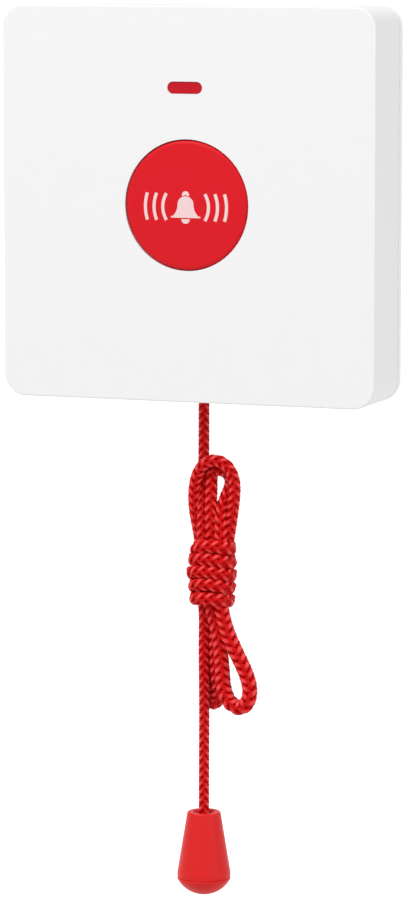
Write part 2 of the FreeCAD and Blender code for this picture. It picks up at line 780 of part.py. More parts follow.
def make_indicator_lamp():
    body = new_body("indicator_lamp")
    base = front_sketch(body, "lamp_base", board_front)
    left = window_x - cell("led_length") / 2
    right = window_x + cell("led_length") / 2
    low = cell("window_level") - cell("led_width") / 2
    high = cell("window_level") + cell("led_width") / 2
    draw_box(base, left, low, right, high)
    pad(body, base, cell("led_height") / 2)
    dome = front_sketch(body, "lamp_dome", board_front + cell("led_height") / 2)
    step = cell("led_step")
    draw_box(dome, left + step, low + step, right - step, high - step)
    lens = pad(body, dome, cell("led_height") / 2)
    bind(lens, "TaperAngle", -cell("led_taper"))


# The circuit board and what is soldered to it

def make_circuit_board():
    body = new_body("circuit_board")
    outline = front_sketch(body, "board_outline", board_back)
    half, high = board_half, board_high
    notch = cell("notch_width") / 2
    notch_top = guide_top + cell("ear_height") + cell("notch_gap")
    bend = cell("board_corner")
    draw_outline(outline, [
        (-half + bend, -high), (-notch, -high), (-notch, notch_top),
        (notch, notch_top), (notch, -high), (half - bend, -high),
        (half, -high + bend), (half, high - bend), (half - bend, high),
        (-half + bend, high), (-half, high - bend), (-half, -high + bend),
    ], {5: bend, 7: bend, 9: bend, 11: bend})
    pad(body, outline, cell("board_thick"))
    holes = front_sketch(body, "board_holes", board_back)
    for x in (-boss_x, boss_x):
        for z in (-boss_z, boss_z):
            draw_circle(holes, x, z, cell("board_hole"))
    pocket(body, holes, cell("board_thick"))


def make_cell_holder():
    body = new_body("cell_holder")
    inside = cell("cell_diameter") / 2 + cell("cell_gap")
    outside = inside + cell("holder_wall")
    level = cell("cell_level")
    floor = front_sketch(body, "holder_floor", board_back - cell("holder_floor"))
    draw_circle(floor, ZERO, level, outside)
    pad(body, floor, cell("holder_floor"))
    rim_height = cell("cell_thick") - cell("rim_drop")
    rim_depth = board_back - cell("holder_floor") - rim_height
    rim = front_sketch(body, "holder_rim", rim_depth)
    draw_circle(rim, ZERO, level, outside)
    draw_circle(rim, ZERO, level, inside)
    pad(body, rim, rim_height)
    gap = front_sketch(body, "holder_gap", rim_depth)
    half = cell("rim_opening") / 2
    draw_box(gap, -half, level, half, level + outside + SPARE)
    pocket(body, gap, rim_height)


def make_coin_cell():
    body = new_body("coin_cell")
    front = board_back - cell("holder_floor")
    profile = level_sketch(body, "cell_profile")
    radius = cell("cell_diameter") / 2
    back = front - cell("cell_thick")
    bend = cell("cell_round")
    crimp = radius - cell("crimp_reach")
    rim = -front + cell("cap_height")
    draw_outline(profile, [
        (ZERO, -front), (ZERO, -back), (radius - bend, -back), (radius, -back - bend),
        (radius, rim), (crimp, rim - cell("crimp_drop")), (crimp - cell("cap_slope"), -front),
    ], {2: -bend})
    revolve(body, profile)
    bind(body, ".Placement.Base.z", cell("cell_level"))


def make_cell_clip():
    body = new_body("cell_clip")
    back = board_back - cell("holder_floor") - cell("cell_thick")
    inside = cell("cell_diameter") / 2 + cell("cell_gap") + cell("holder_wall") + fit_gap
    sheet_thick = cell("clip_thick")
    outside = inside + sheet_thick
    foot = outside + cell("clip_foot")
    strip = level_sketch(body, "clip_strip", cell("cell_level"))
    draw_outline(strip, [
        (-outside, -back + sheet_thick), (outside, -back + sheet_thick),
        (outside, -board_back + sheet_thick), (foot, -board_back + sheet_thick),
        (foot, -board_back), (inside, -board_back), (inside, -back), (-inside, -back),
        (-inside, -board_back), (-foot, -board_back), (-foot, -board_back + sheet_thick),
        (-outside, -board_back + sheet_thick),
    ])
    pad(body, strip, cell("clip_width"), centred=True)


def make_radio_chip():
    body = new_body("radio_chip")
    outline = front_sketch(body, "chip_outline", board_back - cell("chip_height"))
    half = cell("chip_side") / 2
    x, z = -cell("chip_column"), -cell("chip_row")
    draw_box(outline, x - half, z - half, x + half, z + half)
    pad(body, outline, cell("chip_height"))


def make_crystal_can():
    body = new_body("crystal_can")
    outline = front_sketch(body, "can_outline", board_back - cell("can_height"))
    draw_pill(
        outline, cell("can_length"), cell("can_width"), -cell("can_column"), -cell("can_row"))
    block = pad(body, outline, cell("can_height"))
    top = -(board_back - cell("can_height")).number
    round_edges(body, block, cell("can_round"), lambda edge, middle: near(middle.y, top))


def make_aerial():
    """A wire that stands off the board and runs straight up beside the coin cell."""
    x, foot = -cell("aerial_column").number, -cell("aerial_foot").number
    bend = cell("aerial_bend").number
    start = -board_back.number
    back = start + cell("aerial_stand").number
    top = foot + cell("aerial_height").number
    turn = bend * (1 - math.sqrt(0.5))
    first = Part.LineSegment(Vector(x, start, foot), Vector(x, back - bend, foot)).toShape()
    arc = Part.Arc(
        Vector(x, back - bend, foot), Vector(x, back - turn, foot + turn),
        Vector(x, back, foot + bend)).toShape()
    last = Part.LineSegment(Vector(x, back, foot + bend), Vector(x, back, top)).toShape()
    section = Part.Circle(
        Vector(x, start, foot), Vector(0, 1, 0), cell("aerial_radius").number).toShape()
    wire = Part.Wire([first, arc, last])
    aerial = doc.addObject("Part::Feature", "aerial")
    aerial.Label = "aerial"
    aerial.Shape = wire.makePipeShell([Part.Wire([section])], True, False)
    parts.append(aerial)


def make_screws(name, places, seat):
    """Small screws with their heads on the wall side of the depth seat, in one group."""
    screws = []
    shank_radius = cell("pilot_radius") - cell("thread_gap")
    for index, (x, z) in enumerate(places, start=1):
        head = doc.addObject("Part::Cylinder", "%s_head_%d" % (name, index))
        bind(head, "Radius", cell("screw_head"))
        bind(head, "Height", cell("head_height"))
        shank = doc.addObject("Part::Cylinder", "%s_shank_%d" % (name, index))
        bind(shank, "Radius", shank_radius)
        bind(shank, "Height", cell("shank_length"))
        for piece, y in ((head, cell("head_height") - seat), (shank, -seat)):
            piece.Placement.Rotation = FreeCAD.Rotation(Vector(1, 0, 0), 90)
            bind(piece, ".Placement.Base.x", x)
            bind(piece, ".Placement.Base.y", y)
            bind(piece, ".Placement.Base.z", z)
        screw = doc.addObject("Part::Fuse", "%s_%d" % (name, index))
        screw.Base = head
        screw.Tool = shank
        screws.append(screw)
    group = doc.addObject("Part::Compound", name)
    group.Label = name
    group.Links = screws
    parts.append(group)


# The cord's slider, its spring, guide and switch

def make_cord_bush():
    body = new_body("cord_bush")
    profile = front_sketch(body, "bush_profile", cord_depth)
    bore, bend = cell("bush_bore"), cell("bush_round")
    radius = cell("bush_radius")
    rim = radius + cell("bush_flange")
    low = -half_side - cell("bush_lip")
    draw_outline(profile, [
        (bore + bend, low), (rim, low), (rim, -half_side), (radius, -half_side),
        (radius, -inner_half), (rim, -inner_half), (rim, bush_top), (bore + bend, bush_top),
        (bore, bush_top - bend), (bore, low + bend),
    ], {7: bend, 9: bend})
    revolve(body, profile)


def make_pull_spring():
    body = new_body("pull_spring")
    wire = cell("spring_wire")
    section = front_sketch(body, "spring_section", cord_depth)
    draw_circle(section, cell("spring_radius"), bush_top + wire, wire)
    coil = body.newObject("PartDesign::AdditiveHelix", "spring_coil")
    coil.Profile = section
    coil.ReferenceAxis = (section, ["V_Axis"])
    coil.Mode = "height-turns-angle"
    bind(coil, "Height", cell("spring_length") - wire * 2)
    bind(coil, "Turns", cell("spring_turns"))


def make_pull_slider():
    body = new_body("pull_slider")
    block = level_sketch(body, "slider_block", slider_low)
    draw_box(block, -slider_half, -slider_front, slider_half, -slider_back)
    solid = pad(body, block, cell("slider_height"))
    bevel_edges(
        body, solid, cell("slider_bevel"),
        lambda edge, middle: abs(edge.tangentAt(edge.FirstParameter).z) > 0.9)
    root = cell("wing_root")
    wing = side_sketch(body, "slider_wing", slider_half - root)
    high_front = ramp_low_front + ramp_rise
    ramp_end = ramp_start + cell("ramp_length")
    draw_outline(wing, [
        (-slider_back, wing_low), (-slider_back, wing_top), (-high_front, wing_top),
        (-high_front, ramp_end), (-ramp_low_front, ramp_start), (-ramp_low_front, wing_low),
    ])
    pad(body, wing, cell("wing_reach") + root)
    bore = level_sketch(body, "slider_bore", slider_low)
    draw_circle(bore, ZERO, -cord_depth, cord_radius + cell("cord_gap"))
    pocket(body, bore, cell("slider_height"))
    seat = level_sketch(body, "slider_seat", knot_base)
    draw_circle(seat, ZERO, -cord_depth, cell("knot_radius") + fit_gap)
    pocket(body, seat, cell("knot_seat"))


def make_slide_guide():
    body = new_body("slide_guide")
    block = level_sketch(body, "guide_block", guide_low)
    draw_box(block, -guide_half, -guide_front, guide_half, -guide_back)
    pad(body, block, cell("guide_height"))
    tongue = front_sketch(body, "guide_tongue", guide_front - cell("guide_wall"))
    reach = cell("ear_screw") + cell("guide_boss") + cell("ear_rim")
    thick = cell("guide_wall")
    draw_box(tongue, -reach, guide_top - thick, reach, guide_top + cell("ear_height"))
    pad(body, tongue, thick)
    channel = level_sketch(body, "guide_channel", guide_low)
    half = slider_half + fit_gap
    draw_box(channel, -half, -slider_front - fit_gap, half, -slider_back + fit_gap)
    pocket(body, channel, cell("guide_height"))
    slot = side_sketch(body, "wing_slot", half - SPARE)
    slot_low = wing_low - cell("pull_travel") - fit_gap
    draw_box(
        slot, -ramp_low_front - ramp_rise - fit_gap, slot_low,
        -slider_back + fit_gap, guide_top)
    pocket(body, slot, cell("guide_side") + SPARE * 2)
    holes = front_sketch(body, "tongue_holes", guide_front - cell("guide_wall"))
    for x in (-cell("ear_screw"), cell("ear_screw")):
        draw_circle(holes, x, ear_level, cell("ear_hole"))
    pocket(body, holes, cell("guide_wall"))


def make_cord_switch():
    body = new_body("cord_switch")
    outline = front_sketch(body, "switch_outline", switch_back)
    half = cell("switch_width") / 2
    x = cell("switch_column")
    draw_round_box(outline, half * 2, half * 2, cell("switch_corner"), x, switch_level)
    pad(body, outline, cell("switch_height"))
    well = front_sketch(body, "switch_well", switch_back)
    draw_circle(well, x, switch_level, cell("trip_radius") + cell("slide_fit"))
    pocket(body, well, cell("switch_height") - cell("well_floor"))


def make_trip_stem():
    body = new_body("trip_stem")
    profile = level_sketch(body, "trip_profile", switch_level)
    radius = cell("trip_radius")
    front = trip_tip + cell("trip_length")
    draw_outline(profile, [
        (ZERO, -front), (radius, -front), (radius, -trip_tip - radius), (ZERO, -trip_tip),
    ], {2: radius})
    revolve(body, profile)
    bind(body, ".Placement.Base.x", cell("switch_column"))


# The cord, its knots, the hank and the knob

def make_knot(name, low):
    body = new_body(name)
    profile = front_sketch(body, name + "_profile", cord_depth)
    radius, bend = cell("knot_radius"), cell("knot_round")
    top = low + cell("knot_height")
    draw_outline(profile, [
        (ZERO, low), (radius - bend, low), (radius, low + bend), (radius, top - bend),
        (radius - bend, top), (ZERO, top),
    ], {1: bend, 3: bend})
    revolve(body, profile)


def make_straight_cord(name, low, top):
    cord = doc.addObject("Part::Cylinder", name)
    cord.Label = name
    bind(cord, "Radius", cord_radius)
    bind(cord, "Height", top - low)
    bind(cord, ".Placement.Base.y", -cord_depth)
    bind(cord, ".Placement.Base.z", low)
    parts.append(cord)


def make_loop(name, depth, thickness, outline, arcs, hole=None, hole_arcs=None):
    """One flat loop of the hank with bevelled edges, seen from the front."""
    body = doc.addObject("PartDesign::Body", name)
    sketch = front_sketch(body, name + "_outline", depth)
    draw_outline(sketch, outline, arcs)
    block = pad(body, sketch, thickness)
    back, front = -as_size(depth).number, -(depth + thickness).number
    bevel_edges(
        body, block, cell("loop_bevel"),
        lambda edge, middle: near(middle.y, front) or near(middle.y, back))
    if hole:
        eye = front_sketch(body, name + "_eye", depth)
        draw_outline(eye, hole, hole_arcs)
        pocket(body, eye, thickness)
    return body


def from_hank(level, points):
    """Places on a loop, chosen by hand: across from the hank's middle and up from a level."""
    return [(cell("hank_shift") + x, level + z) for x, z in points]


def make_cord_hank():
    """The wound middle of the cord: five level turns round loops that stand out above and below."""
    wrap = doc.addObject("PartDesign::Body", "hank_wrap")
    section = level_sketch(wrap, "wrap_section", hank_low)
    draw_round_box(
        section, cell("hank_width"), cell("hank_depth"), cell("hank_corner"),
        cell("hank_shift"), -cord_depth)
    barrel = pad(wrap, section, cell("hank_height"))
    ends = (hank_low.number, hank_top.number)
    round_edges(
        wrap, barrel, cell("hank_round"),
        lambda edge, middle: near(middle.z, ends[0]) or near(middle.z, ends[1]))

    loops_back = cord_depth - cord_radius
    cord_width = cord_radius * 2
    root = cell("loop_root")
    upper_bend, narrow_bend, wide_bend = 6.15, 2.6, 4.75
    upper_eye, wide_eye = 0.8, 2.0
    upper = make_loop(
        "upper_loops", loops_back, cord_width * 2,
        from_hank(hank_top, [
            (-5.05, -root), (6.25, -root), (6.95, 12.75), (0.8, 18.9), (-5.35, 12.75),
        ]), {2: upper_bend, 3: upper_bend},
        from_hank(hank_top, [
            (1.55, 9.0), (2.35, 8.2), (3.15, 9.0), (3.15, 13.4), (2.35, 14.2), (1.55, 13.4),
        ]), {0: upper_eye, 1: upper_eye, 3: upper_eye, 4: upper_eye})
    narrow = make_loop(
        "narrow_loop", loops_back - cell("loop_gap") - cord_width, cord_width,
        from_hank(hank_low, [
            (-2.85, -20.8), (-0.25, -23.4), (2.35, -20.8), (1.95, root), (-2.45, root),
        ]), {0: narrow_bend, 1: narrow_bend})
    wide = make_loop(
        "wide_loop", loops_back, cord_width,
        from_hank(hank_low, [
            (0.15, root), (1.81, -18.5), (6.55, -23.55), (11.2, -17.85), (4.75, root),
        ]), {1: wide_bend, 2: wide_bend},
        from_hank(hank_low, [(4.55, -10.8), (4.15, -17.7), (6.15, -19.7), (8.11, -17.3)]),
        {1: wide_eye, 2: wide_eye})
    joined = doc.addObject("Part::MultiFuse", "hank_joined")
    joined.Shapes = [wrap, upper, narrow, wide]
    joined.Refine = False

    channel = doc.addObject("Part::Box", "cord_channel")
    clear = cord_radius + cell("channel_gap")
    bind(channel, "Length", clear * 2)
    bind(channel, "Width", clear * 2)
    bind(channel, "Height", cell("hank_drop"))
    bind(channel, ".Placement.Base.x", -clear)
    bind(channel, ".Placement.Base.y", -cord_depth - clear)
    bind(channel, ".Placement.Base.z", hank_top)
    hank = doc.addObject("Part::Cut", "cord_hank")
    hank.Label = "cord_hank"
    hank.Base = joined
    hank.Tool = channel
    parts.append(hank)


def make_pull_knob():
    body = new_body("pull_knob")
    profile = front_sketch(body, "knob_profile", cord_depth)
    radius, bevel = cell("knob_radius"), cell("seam_bevel")
    hollow = cell("knob_hollow")
    throat = cord_radius + cell("cord_gap")
    draw_outline(profile, [
        (hollow, knob_low), (radius - bevel, knob_low), (radius, knob_low + bevel),
        (radius, knob_low + cell("knob_band")), (cell("knob_top"), knob_top),
        (cell("knob_mouth"), knob_top), (throat, knob_top - cell("mouth_depth")),
        (throat, throat_low), (hollow, throat_low),
    ])
    turned = revolve(body, profile)
    top = knob_top.number
    round_edges(body, turned, cell("knob_round"), lambda edge, middle: near(middle.z, top))


def make_knob_cap():
    body = new_body("knob_cap")
    profile = front_sketch(body, "cap_profile", cord_depth)
    radius, bevel = cell("knob_radius"), cell("seam_bevel")
    dome = cell("cap_dome")
    edge = knob_low - cell("cap_band")
    spigot = cell("knob_hollow") - cell("cap_fit")
    top = knob_low + cell("cap_spigot")
    dome_radius = (radius * radius + dome * dome) / (dome * 2)
    draw_outline(profile, [
        (ZERO, edge - dome), (radius, edge), (radius, knob_low - bevel),
        (radius - bevel, knob_low), (spigot, knob_low), (spigot, top), (ZERO, top),
    ], {0: dome_radius})
    revolve(body, profile)


# Build everything, check it and write one file for each piece

board_corners = [(x, z) for x in (-boss_x, boss_x) for z in (-boss_z, boss_z)]
ear_places = [(-cell("ear_screw"), ear_level), (cell("ear_screw"), ear_level)]

make_wall_plate()
make_rim_seal()
make_front_cover()
make_call_button()
make_return_ring()
make_tact_switch()
make_tact_stem()
make_light_pipe()
make_indicator_lamp()
make_circuit_board()
make_cell_holder()
make_coin_cell()
make_cell_clip()
make_radio_chip()
make_crystal_can()
make_aerial()
make_screws("board_screws", board_corners, board_back)
make_screws("guide_screws", ear_places, guide_front - cell("guide_wall"))
make_cord_bush()
make_pull_spring()
make_pull_slider()
make_slide_guide()
make_cord_switch()
make_trip_stem()
make_knot("cord_top_knot", knot_base)
make_straight_cord("cord_upper", hank_top, knot_base)
make_cord_hank()
make_straight_cord("cord_lower", throat_low, hank_low)
make_knot("cord_end_knot", throat_low - cell("knot_height"))
make_pull_knob()
make_knob_cap()
doc.recompute()

for thing in doc.Objects:
    if "Invalid" in thing.State or "Error" in thing.State:
        raise RuntimeError("%s failed: %s" % (thing.Name, thing.State))
for part in parts:
    if part.Shape.isNull() or not part.Shape.isValid() or not part.Shape.Solids:
        raise RuntimeError("%s has no valid solid" % part.Label)

os.makedirs("parts", exist_ok=True)
for part in parts:
    part.Shape.exportStep("parts/%s.step" % part.Label)
    print("%-16s %2d solid %10.2f mm3" % (part.Label, len(part.Shape.Solids), part.Shape.Volume))
print("%d pieces" % len(parts))
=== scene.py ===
# %% [markdown]
# # A wireless panic button with a pull cord
# The object is a flat white square case for a wall, with a round red call button, a small red lamp window
# and a red braided cord that ends in a knob. The spare cord is folded into loops and wrapped around itself.
# The case, the button, the knob and everything that is screwed or soldered inside come from the packed
# model and keep their shapes. What is made here is the cord, the print on the button, the finish of every
# surface, the light and the camera. All lengths below are in metres unless a name ends in `mm`.

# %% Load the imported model
import math

import bmesh
import bpy
import numpy as np
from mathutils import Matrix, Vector
from mathutils.bvhtree import BVHTree


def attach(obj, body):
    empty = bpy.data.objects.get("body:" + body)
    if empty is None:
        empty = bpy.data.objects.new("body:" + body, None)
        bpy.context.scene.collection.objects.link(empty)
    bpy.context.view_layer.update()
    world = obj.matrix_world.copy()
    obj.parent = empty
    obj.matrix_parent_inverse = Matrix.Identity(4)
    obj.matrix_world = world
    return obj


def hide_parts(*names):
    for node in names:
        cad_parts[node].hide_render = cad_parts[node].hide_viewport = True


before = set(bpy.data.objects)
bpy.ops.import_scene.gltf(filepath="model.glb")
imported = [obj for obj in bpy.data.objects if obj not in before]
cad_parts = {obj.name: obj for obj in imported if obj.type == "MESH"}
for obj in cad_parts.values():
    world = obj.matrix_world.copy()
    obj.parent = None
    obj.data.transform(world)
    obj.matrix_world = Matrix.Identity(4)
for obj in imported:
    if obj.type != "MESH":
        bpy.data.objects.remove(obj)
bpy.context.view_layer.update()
mm = 0.001


def new_object(name, data):
    """An object in the scene that shows the data."""
    thing = bpy.data.objects.new(name, data)
    bpy.context.scene.collection.objects.link(thing)
    return thing


# %% [markdown]
# ## The camera
# The photograph shows the case from a little to its right and a little above, with a long lens, so its
# edges stay nearly parallel. The place of the camera was worked out from the four corners of the front
# face, whose real size is known. A long lens far away is set by its focal length and not by moving closer,
# because moving closer would spread the side faces.

# %% Camera
photo_height_px = 900
focal_length_px = 4167.4
sensor_mm = 36.0
camera_place = Vector((0.32073, -0.86212, 0.06319))
camera_target = Vector((-0.00344, 0.0, -0.05586))

camera_data = bpy.data.cameras.new("camera")
camera_data.sensor_fit = "VERTICAL"
camera_data.sensor_height = sensor_mm
camera_data.lens = sensor_mm * focal_length_px / photo_height_px
camera_data.clip_end = 60.0
camera = new_object("camera", camera_data)
camera.location = camera_place
camera.rotation_euler = (camera_target - camera_place).to_track_quat("-Z", "Y").to_euler()
bpy.context.scene.camera = camera
print("lens", round(camera_data.lens, 2), "mm at", round((camera_target - camera_place).length, 3), "m")

# %% [markdown]
# ## The route of the cord
# One cord does everything: it leaves the case straight down, makes a wide loop and a narrow loop below and
# two loops above, is wound five times around them, and hangs on to the knob. A cord like this could be
# drawn as a bevelled curve, but then its braid would be a picture on a pipe. Here a smooth spline only
# gives the line that the cord follows. The free stretches are points set from the photograph, in
# millimetres as (right, forward, up), and the five turns come from a loop.

# %% The free stretches of the cord
cord_depth_mm = 7.6
knot_mm = -27.0
throat_mm = -141.0

run_in = [(0.0, -cord_depth_mm, level) for level in (knot_mm, -40.0, -53.0)]
first_leg = [
    (-0.1, -7.6, -61.0), (-0.2, -7.9, -67.5), (0.1, -8.7, -73.5), (0.5, -9.3, -81.0), (1.4, -8.8, -86.5),
]
wide_loop = [
    (2.2, -8.3, -90.8), (3.8, -8.3, -95.6), (4.6, -8.4, -102.5), (4.9, -8.4, -107.8),
    (6.2, -8.3, -110.9), (8.7, -8.3, -112.2), (10.7, -8.4, -110.9), (11.4, -8.5, -107.6),
    (10.3, -8.7, -103.7), (7.8, -8.9, -98.9), (5.7, -9.0, -94.2), (4.5, -9.0, -89.0),
]
inner_loop = [
    (4.2, -9.0, -81.0), (4.5, -8.9, -73.5), (4.2, -8.5, -68.1), (5.2, -7.5, -64.7),
    (6.1, -6.7, -62.2), (5.8, -6.9, -60.2), (4.4, -7.3, -59.1), (2.7, -7.9, -58.9),
    (2.0, -8.3, -60.2), (2.2, -8.6, -63.0), (2.05, -8.9, -67.7), (2.3, -8.8, -73.5),
    (2.5, -7.6, -81.0),
]
narrow_loop = [
    (2.4, -6.4, -88.0), (2.3, -6.9, -96.0), (2.35, -6.8, -103.0), (2.75, -6.0, -108.4),
    (2.7, -5.3, -110.8), (1.9, -4.9, -112.1), (0.7, -4.8, -112.1), (-0.1, -4.8, -110.8),
    (-0.2, -4.8, -108.4), (0.1, -4.9, -103.0), (0.1, -5.1, -96.0), (-0.5, -5.6, -88.0),
]
outer_loop = [
    (-0.7, -6.2, -81.0), (-1.4, -6.9, -73.5), (-2.15, -8.2, -67.5), (-1.85, -8.9, -63.2),
    (-0.85, -9.7, -59.9), (0.85, -10.4, -57.6), (2.5, -10.5, -56.6), (4.6, -10.2, -56.6),
    (6.5, -9.8, -57.8), (7.7, -9.3, -60.4), (7.8, -8.9, -63.3), (7.2, -8.4, -67.4),
    (6.15, -7.6, -72.5), (5.0, -6.6, -77.5), (4.2, -6.2, -83.0),
]
run_out = [
    (1.2, -5.8, -79.6), (0.1, -7.0, -83.2), (-0.3, -7.9, -87.2), (0.1, -7.7, -91.5),
    (-0.1, -cord_depth_mm, -99.0), (0.1, -cord_depth_mm, -112.0), (0.0, -cord_depth_mm, -126.0),
    (0.0, -cord_depth_mm, throat_mm),
]
free_stretches = (run_in, first_leg, wide_loop, inner_loop, narrow_loop, outer_loop, run_out)
print("points set by hand:", sum(map(len, free_stretches)))

# %% [markdown]
# The wrapped part is a winding of five turns, so its points come from a loop. A turn is a flattened ring
# around the bundle. Its back climbs one pitch to the next turn. Its front rises a little to the right, most
# in the top turn, and arches upward in the middle, because the cord was pulled tight by hand. The levels of
# the five fronts were read from the photograph, because the turns aren't equally far apart. The middle of a
# turn's back is a quarter of the way round and the middle of its front is at three quarters.

# %% The turns of the wrapped part
turns = 5
points_per_turn = 14
front_level_mm = (-87.95, -84.75, -81.90, -79.10, -76.20)
turn_pitch_mm = (front_level_mm[-1] - front_level_mm[0]) / (turns - 1)
wrap_middle_mm = (1.75, -cord_depth_mm)
wrap_reach_mm = (4.6, 3.6)
ring_power = 2.6
back_share, front_share = 0.25, 0.75
front_rise_mm = (0.6, 0.2, 0.0, -0.1, 1.7)
arch_mm = 1.3
left_bulge_mm = (-1.05, -0.75, -0.15, -0.70, -1.35)
right_bulge_mm = (-0.50, -0.25, 0.0, 0.0, -0.15)
first_step = 4


def wrap_point(step):
    """A point of the winding, which starts at the back right, passes the left side and rises to the right."""
    turn = step / points_per_turn
    angle = math.tau * turn
    which = min(max(int(turn - back_share), 0), turns - 1)
    right, back = math.cos(angle), math.sin(angle)
    bulge = right_bulge_mm[which] * max(right, 0.0) + left_bulge_mm[which] * max(-right, 0.0)
    steep = (front_rise_mm[which] - turn_pitch_mm / 2) / 2
    level = float(np.interp(turn - front_share, range(turns), front_level_mm)) + steep * right
    level += arch_mm * (max(-back, 0.0) - 0.5)
    round_off = (abs(right) ** ring_power + abs(back) ** ring_power) ** (-1 / ring_power)
    return (
        wrap_middle_mm[0] + (wrap_reach_mm[0] + bulge) * right * round_off,
        wrap_middle_mm[1] + wrap_reach_mm[1] * back * round_off,
        level,
    )


wrap_in = [(3.3, -5.2, -87.0)]
wrap_out = [(5.0, -4.7, -76.1), (3.4, -4.2, -75.9), (2.1, -4.7, -77.0)]
winding = [wrap_point(step) for step in range(first_step, turns * points_per_turn + 2)]
wrapped = wrap_in + winding + wrap_out
route_mm = run_in + first_leg + wide_loop + inner_loop + narrow_loop + outer_loop + wrapped + run_out
print("route points:", len(route_mm))

# %% [markdown]
# A smooth spline through the air is made from the points as a NURBS curve of order 3. Its order and its
# end rule are set after the points are there. Blender then turns it into a fine chain of straight edges,
# and every other shape of the cord is measured along that chain.

# %% The spline and its fine chain
chain_resolution = 16
same_place = 1e-7


def route_curve(name, resolution):
    """A curve with one smooth spline along the route."""
    curve = bpy.data.curves.new(name, "CURVE")
    curve.dimensions = "3D"
    spline = curve.splines.new("NURBS")
    spline.points.add(len(route_mm) - 1)
    for control, place in zip(spline.points, route_mm):
        control.co = (place[0] * mm, place[1] * mm, place[2] * mm, 1.0)
    spline.order_u = 3
    spline.use_endpoint_u = True
    spline.resolution_u = resolution
    return curve


def as_mesh(curve):
    """The mesh that Blender makes of a curve, by way of an object that is removed again."""
    shape = new_object(curve.name + "_shape", curve)
    bpy.context.view_layer.update()
    mesh = bpy.data.meshes.new_from_object(shape)
    bpy.data.objects.remove(shape)
    return mesh


chain = as_mesh(route_curve("cord_route", chain_resolution))
chain_points = np.array([vertex.co for vertex in chain.vertices])
chain_steps = np.linalg.norm(np.diff(chain_points, axis=0), axis=1)
chain_points = chain_points[np.concatenate([[True], chain_steps > same_place])]
chain_steps = np.linalg.norm(np.diff(chain_points, axis=0), axis=1)
chain_along = np.concatenate([[0.0], np.cumsum(chain_steps)])
cord_length = float(chain_along[-1])
print("cord length", round(cord_length, 4), "m in", len(chain_points), "points")

# %% [markdown]
# ## The braid
# The cord is a round braid of eight yarns. Four climb to the right and four to the left, and each one goes
# over two others and under the next two, which gives two columns of long slanting marks on each side of the
# cord, like a row of arrow heads. Eight thin tubes are swept along the chain. Each tube turns around the
# cord at an even pitch, and its distance from the middle rises where it passes over and falls where it
# passes under. A braid could also be a bump on a pipe, but its outline would then be smooth, and the
# photograph shows it knobbly.

# %% Even steps along the cord, and a frame that doesn't twist
braid_pitch = 0.0077
steps_per_pitch = 36
yarns_each_way = 4
line_window = 5

station_count = int(cord_length / (braid_pitch / steps_per_pitch)) + 1
stations = np.linspace(0.0, cord_length, station_count)
centre = np.stack([np.interp(stations, chain_along, chain_points[:, axis]) for axis in range(3)], 1)


def smoothed(values, width):
    """A running mean, whose ends keep their values."""
    half = width // 2
    padded = np.concatenate([np.repeat(values[:1], half, 0), values, np.repeat(values[-1:], half, 0)])
    return np.stack([np.convolve(padded[:, axis], np.ones(width) / width, "valid")
                     for axis in range(values.shape[1])], 1)


def directions(points):
    """Unit vectors along a line of points."""
    along = np.gradient(points, axis=0)
    return along / np.linalg.norm(along, axis=1)[:, None]


centre = smoothed(centre, line_window)
forward = directions(centre)
side = np.zeros_like(centre)
side[0] = (1.0, 0.0, 0.0)
for index in range(1, station_count):
    carried = side[index - 1] - forward[index] * np.dot(side[index - 1], forward[index])
    side[index] = carried / np.linalg.norm(carried)
across = np.cross(forward, side)
turning = np.linalg.norm(np.diff(forward, axis=0), axis=1) / np.diff(stations)
print("stations", station_count, "tightest bend radius", round(1 / turning.max() / mm, 2), "mm")

# %% [markdown]
# The cord isn't equally thick all the way. It is pulled thin near the case and above the knob, and it is
# slack and full in the wide loop. Each stretch of the route gets its own fullness, and a running mean makes
# the change from one to the next gradual. In the wrapped part the cord is pressed flat and wide, so that
# the turns close up. The last value here turns the braid, so that the groove between two columns of marks
# faces the room, as it does on most of the photographed cord.

# %% How full the cord is, and which way its marks face
stretches = (
    (run_in, 0.93), (first_leg, 1.02), (wide_loop, 1.34), (inner_loop, 1.07), (narrow_loop, 1.05),
    (outer_loop, 1.04), (wrapped, 1.02), (run_out, 0.92),
)
point_fullness = np.concatenate([np.full(len(points), full) for points, full in stretches])
point_wound = np.concatenate([np.full(len(points), float(points is wrapped)) for points, _ in stretches])


def along_cord(point_values, width):
    """Values given for the route's points, smoothed and read at the stations."""
    smooth = smoothed(point_values[:, None], width)[:, 0]
    share = np.linspace(0.0, len(route_mm) - 1.0, len(chain_along))
    return np.interp(stations, chain_along, np.interp(share, np.arange(len(route_mm)), smooth))


full_window, wound_window, seam_window = 5, 3, 41
fullness = along_cord(point_fullness, full_window)
wound = along_cord(point_wound, wound_window)
room = np.array([0.35, -0.94, 0.0])
columns = 4
to_room = np.unwrap(np.arctan2(across @ room, side @ room) * columns) / columns
seam_turn = smoothed((to_room + math.pi / columns)[:, None], seam_window)[:, 0]
print("fullness", round(fullness.min(), 2), "to", round(fullness.max(), 2))

# %% [markdown]
# A yarn is a tube of ten sides whose rings stand on the stations. Each ring lies across the yarn's own
# direction, not across the cord's, so the yarn keeps its width where it slants. Fullness and pressing move
# the ring's corners last. The four yarns that climb one way become one mesh, which also stores how far out
# each corner lies and its place along and around the yarn: the finish needs these later. Those places are
# shifted from yarn to yarn, so that no two yarns show the same fibres.

# %% Sweep the yarns
yarn_middle = 0.00088
yarn_wave = 0.00020
yarn_width = 0.00092
yarn_thickness = 0.00068
yarn_sides = 10
shift_along = 0.013
shift_around = 3.0
press_flat = 0.92
press_wide = 1.11


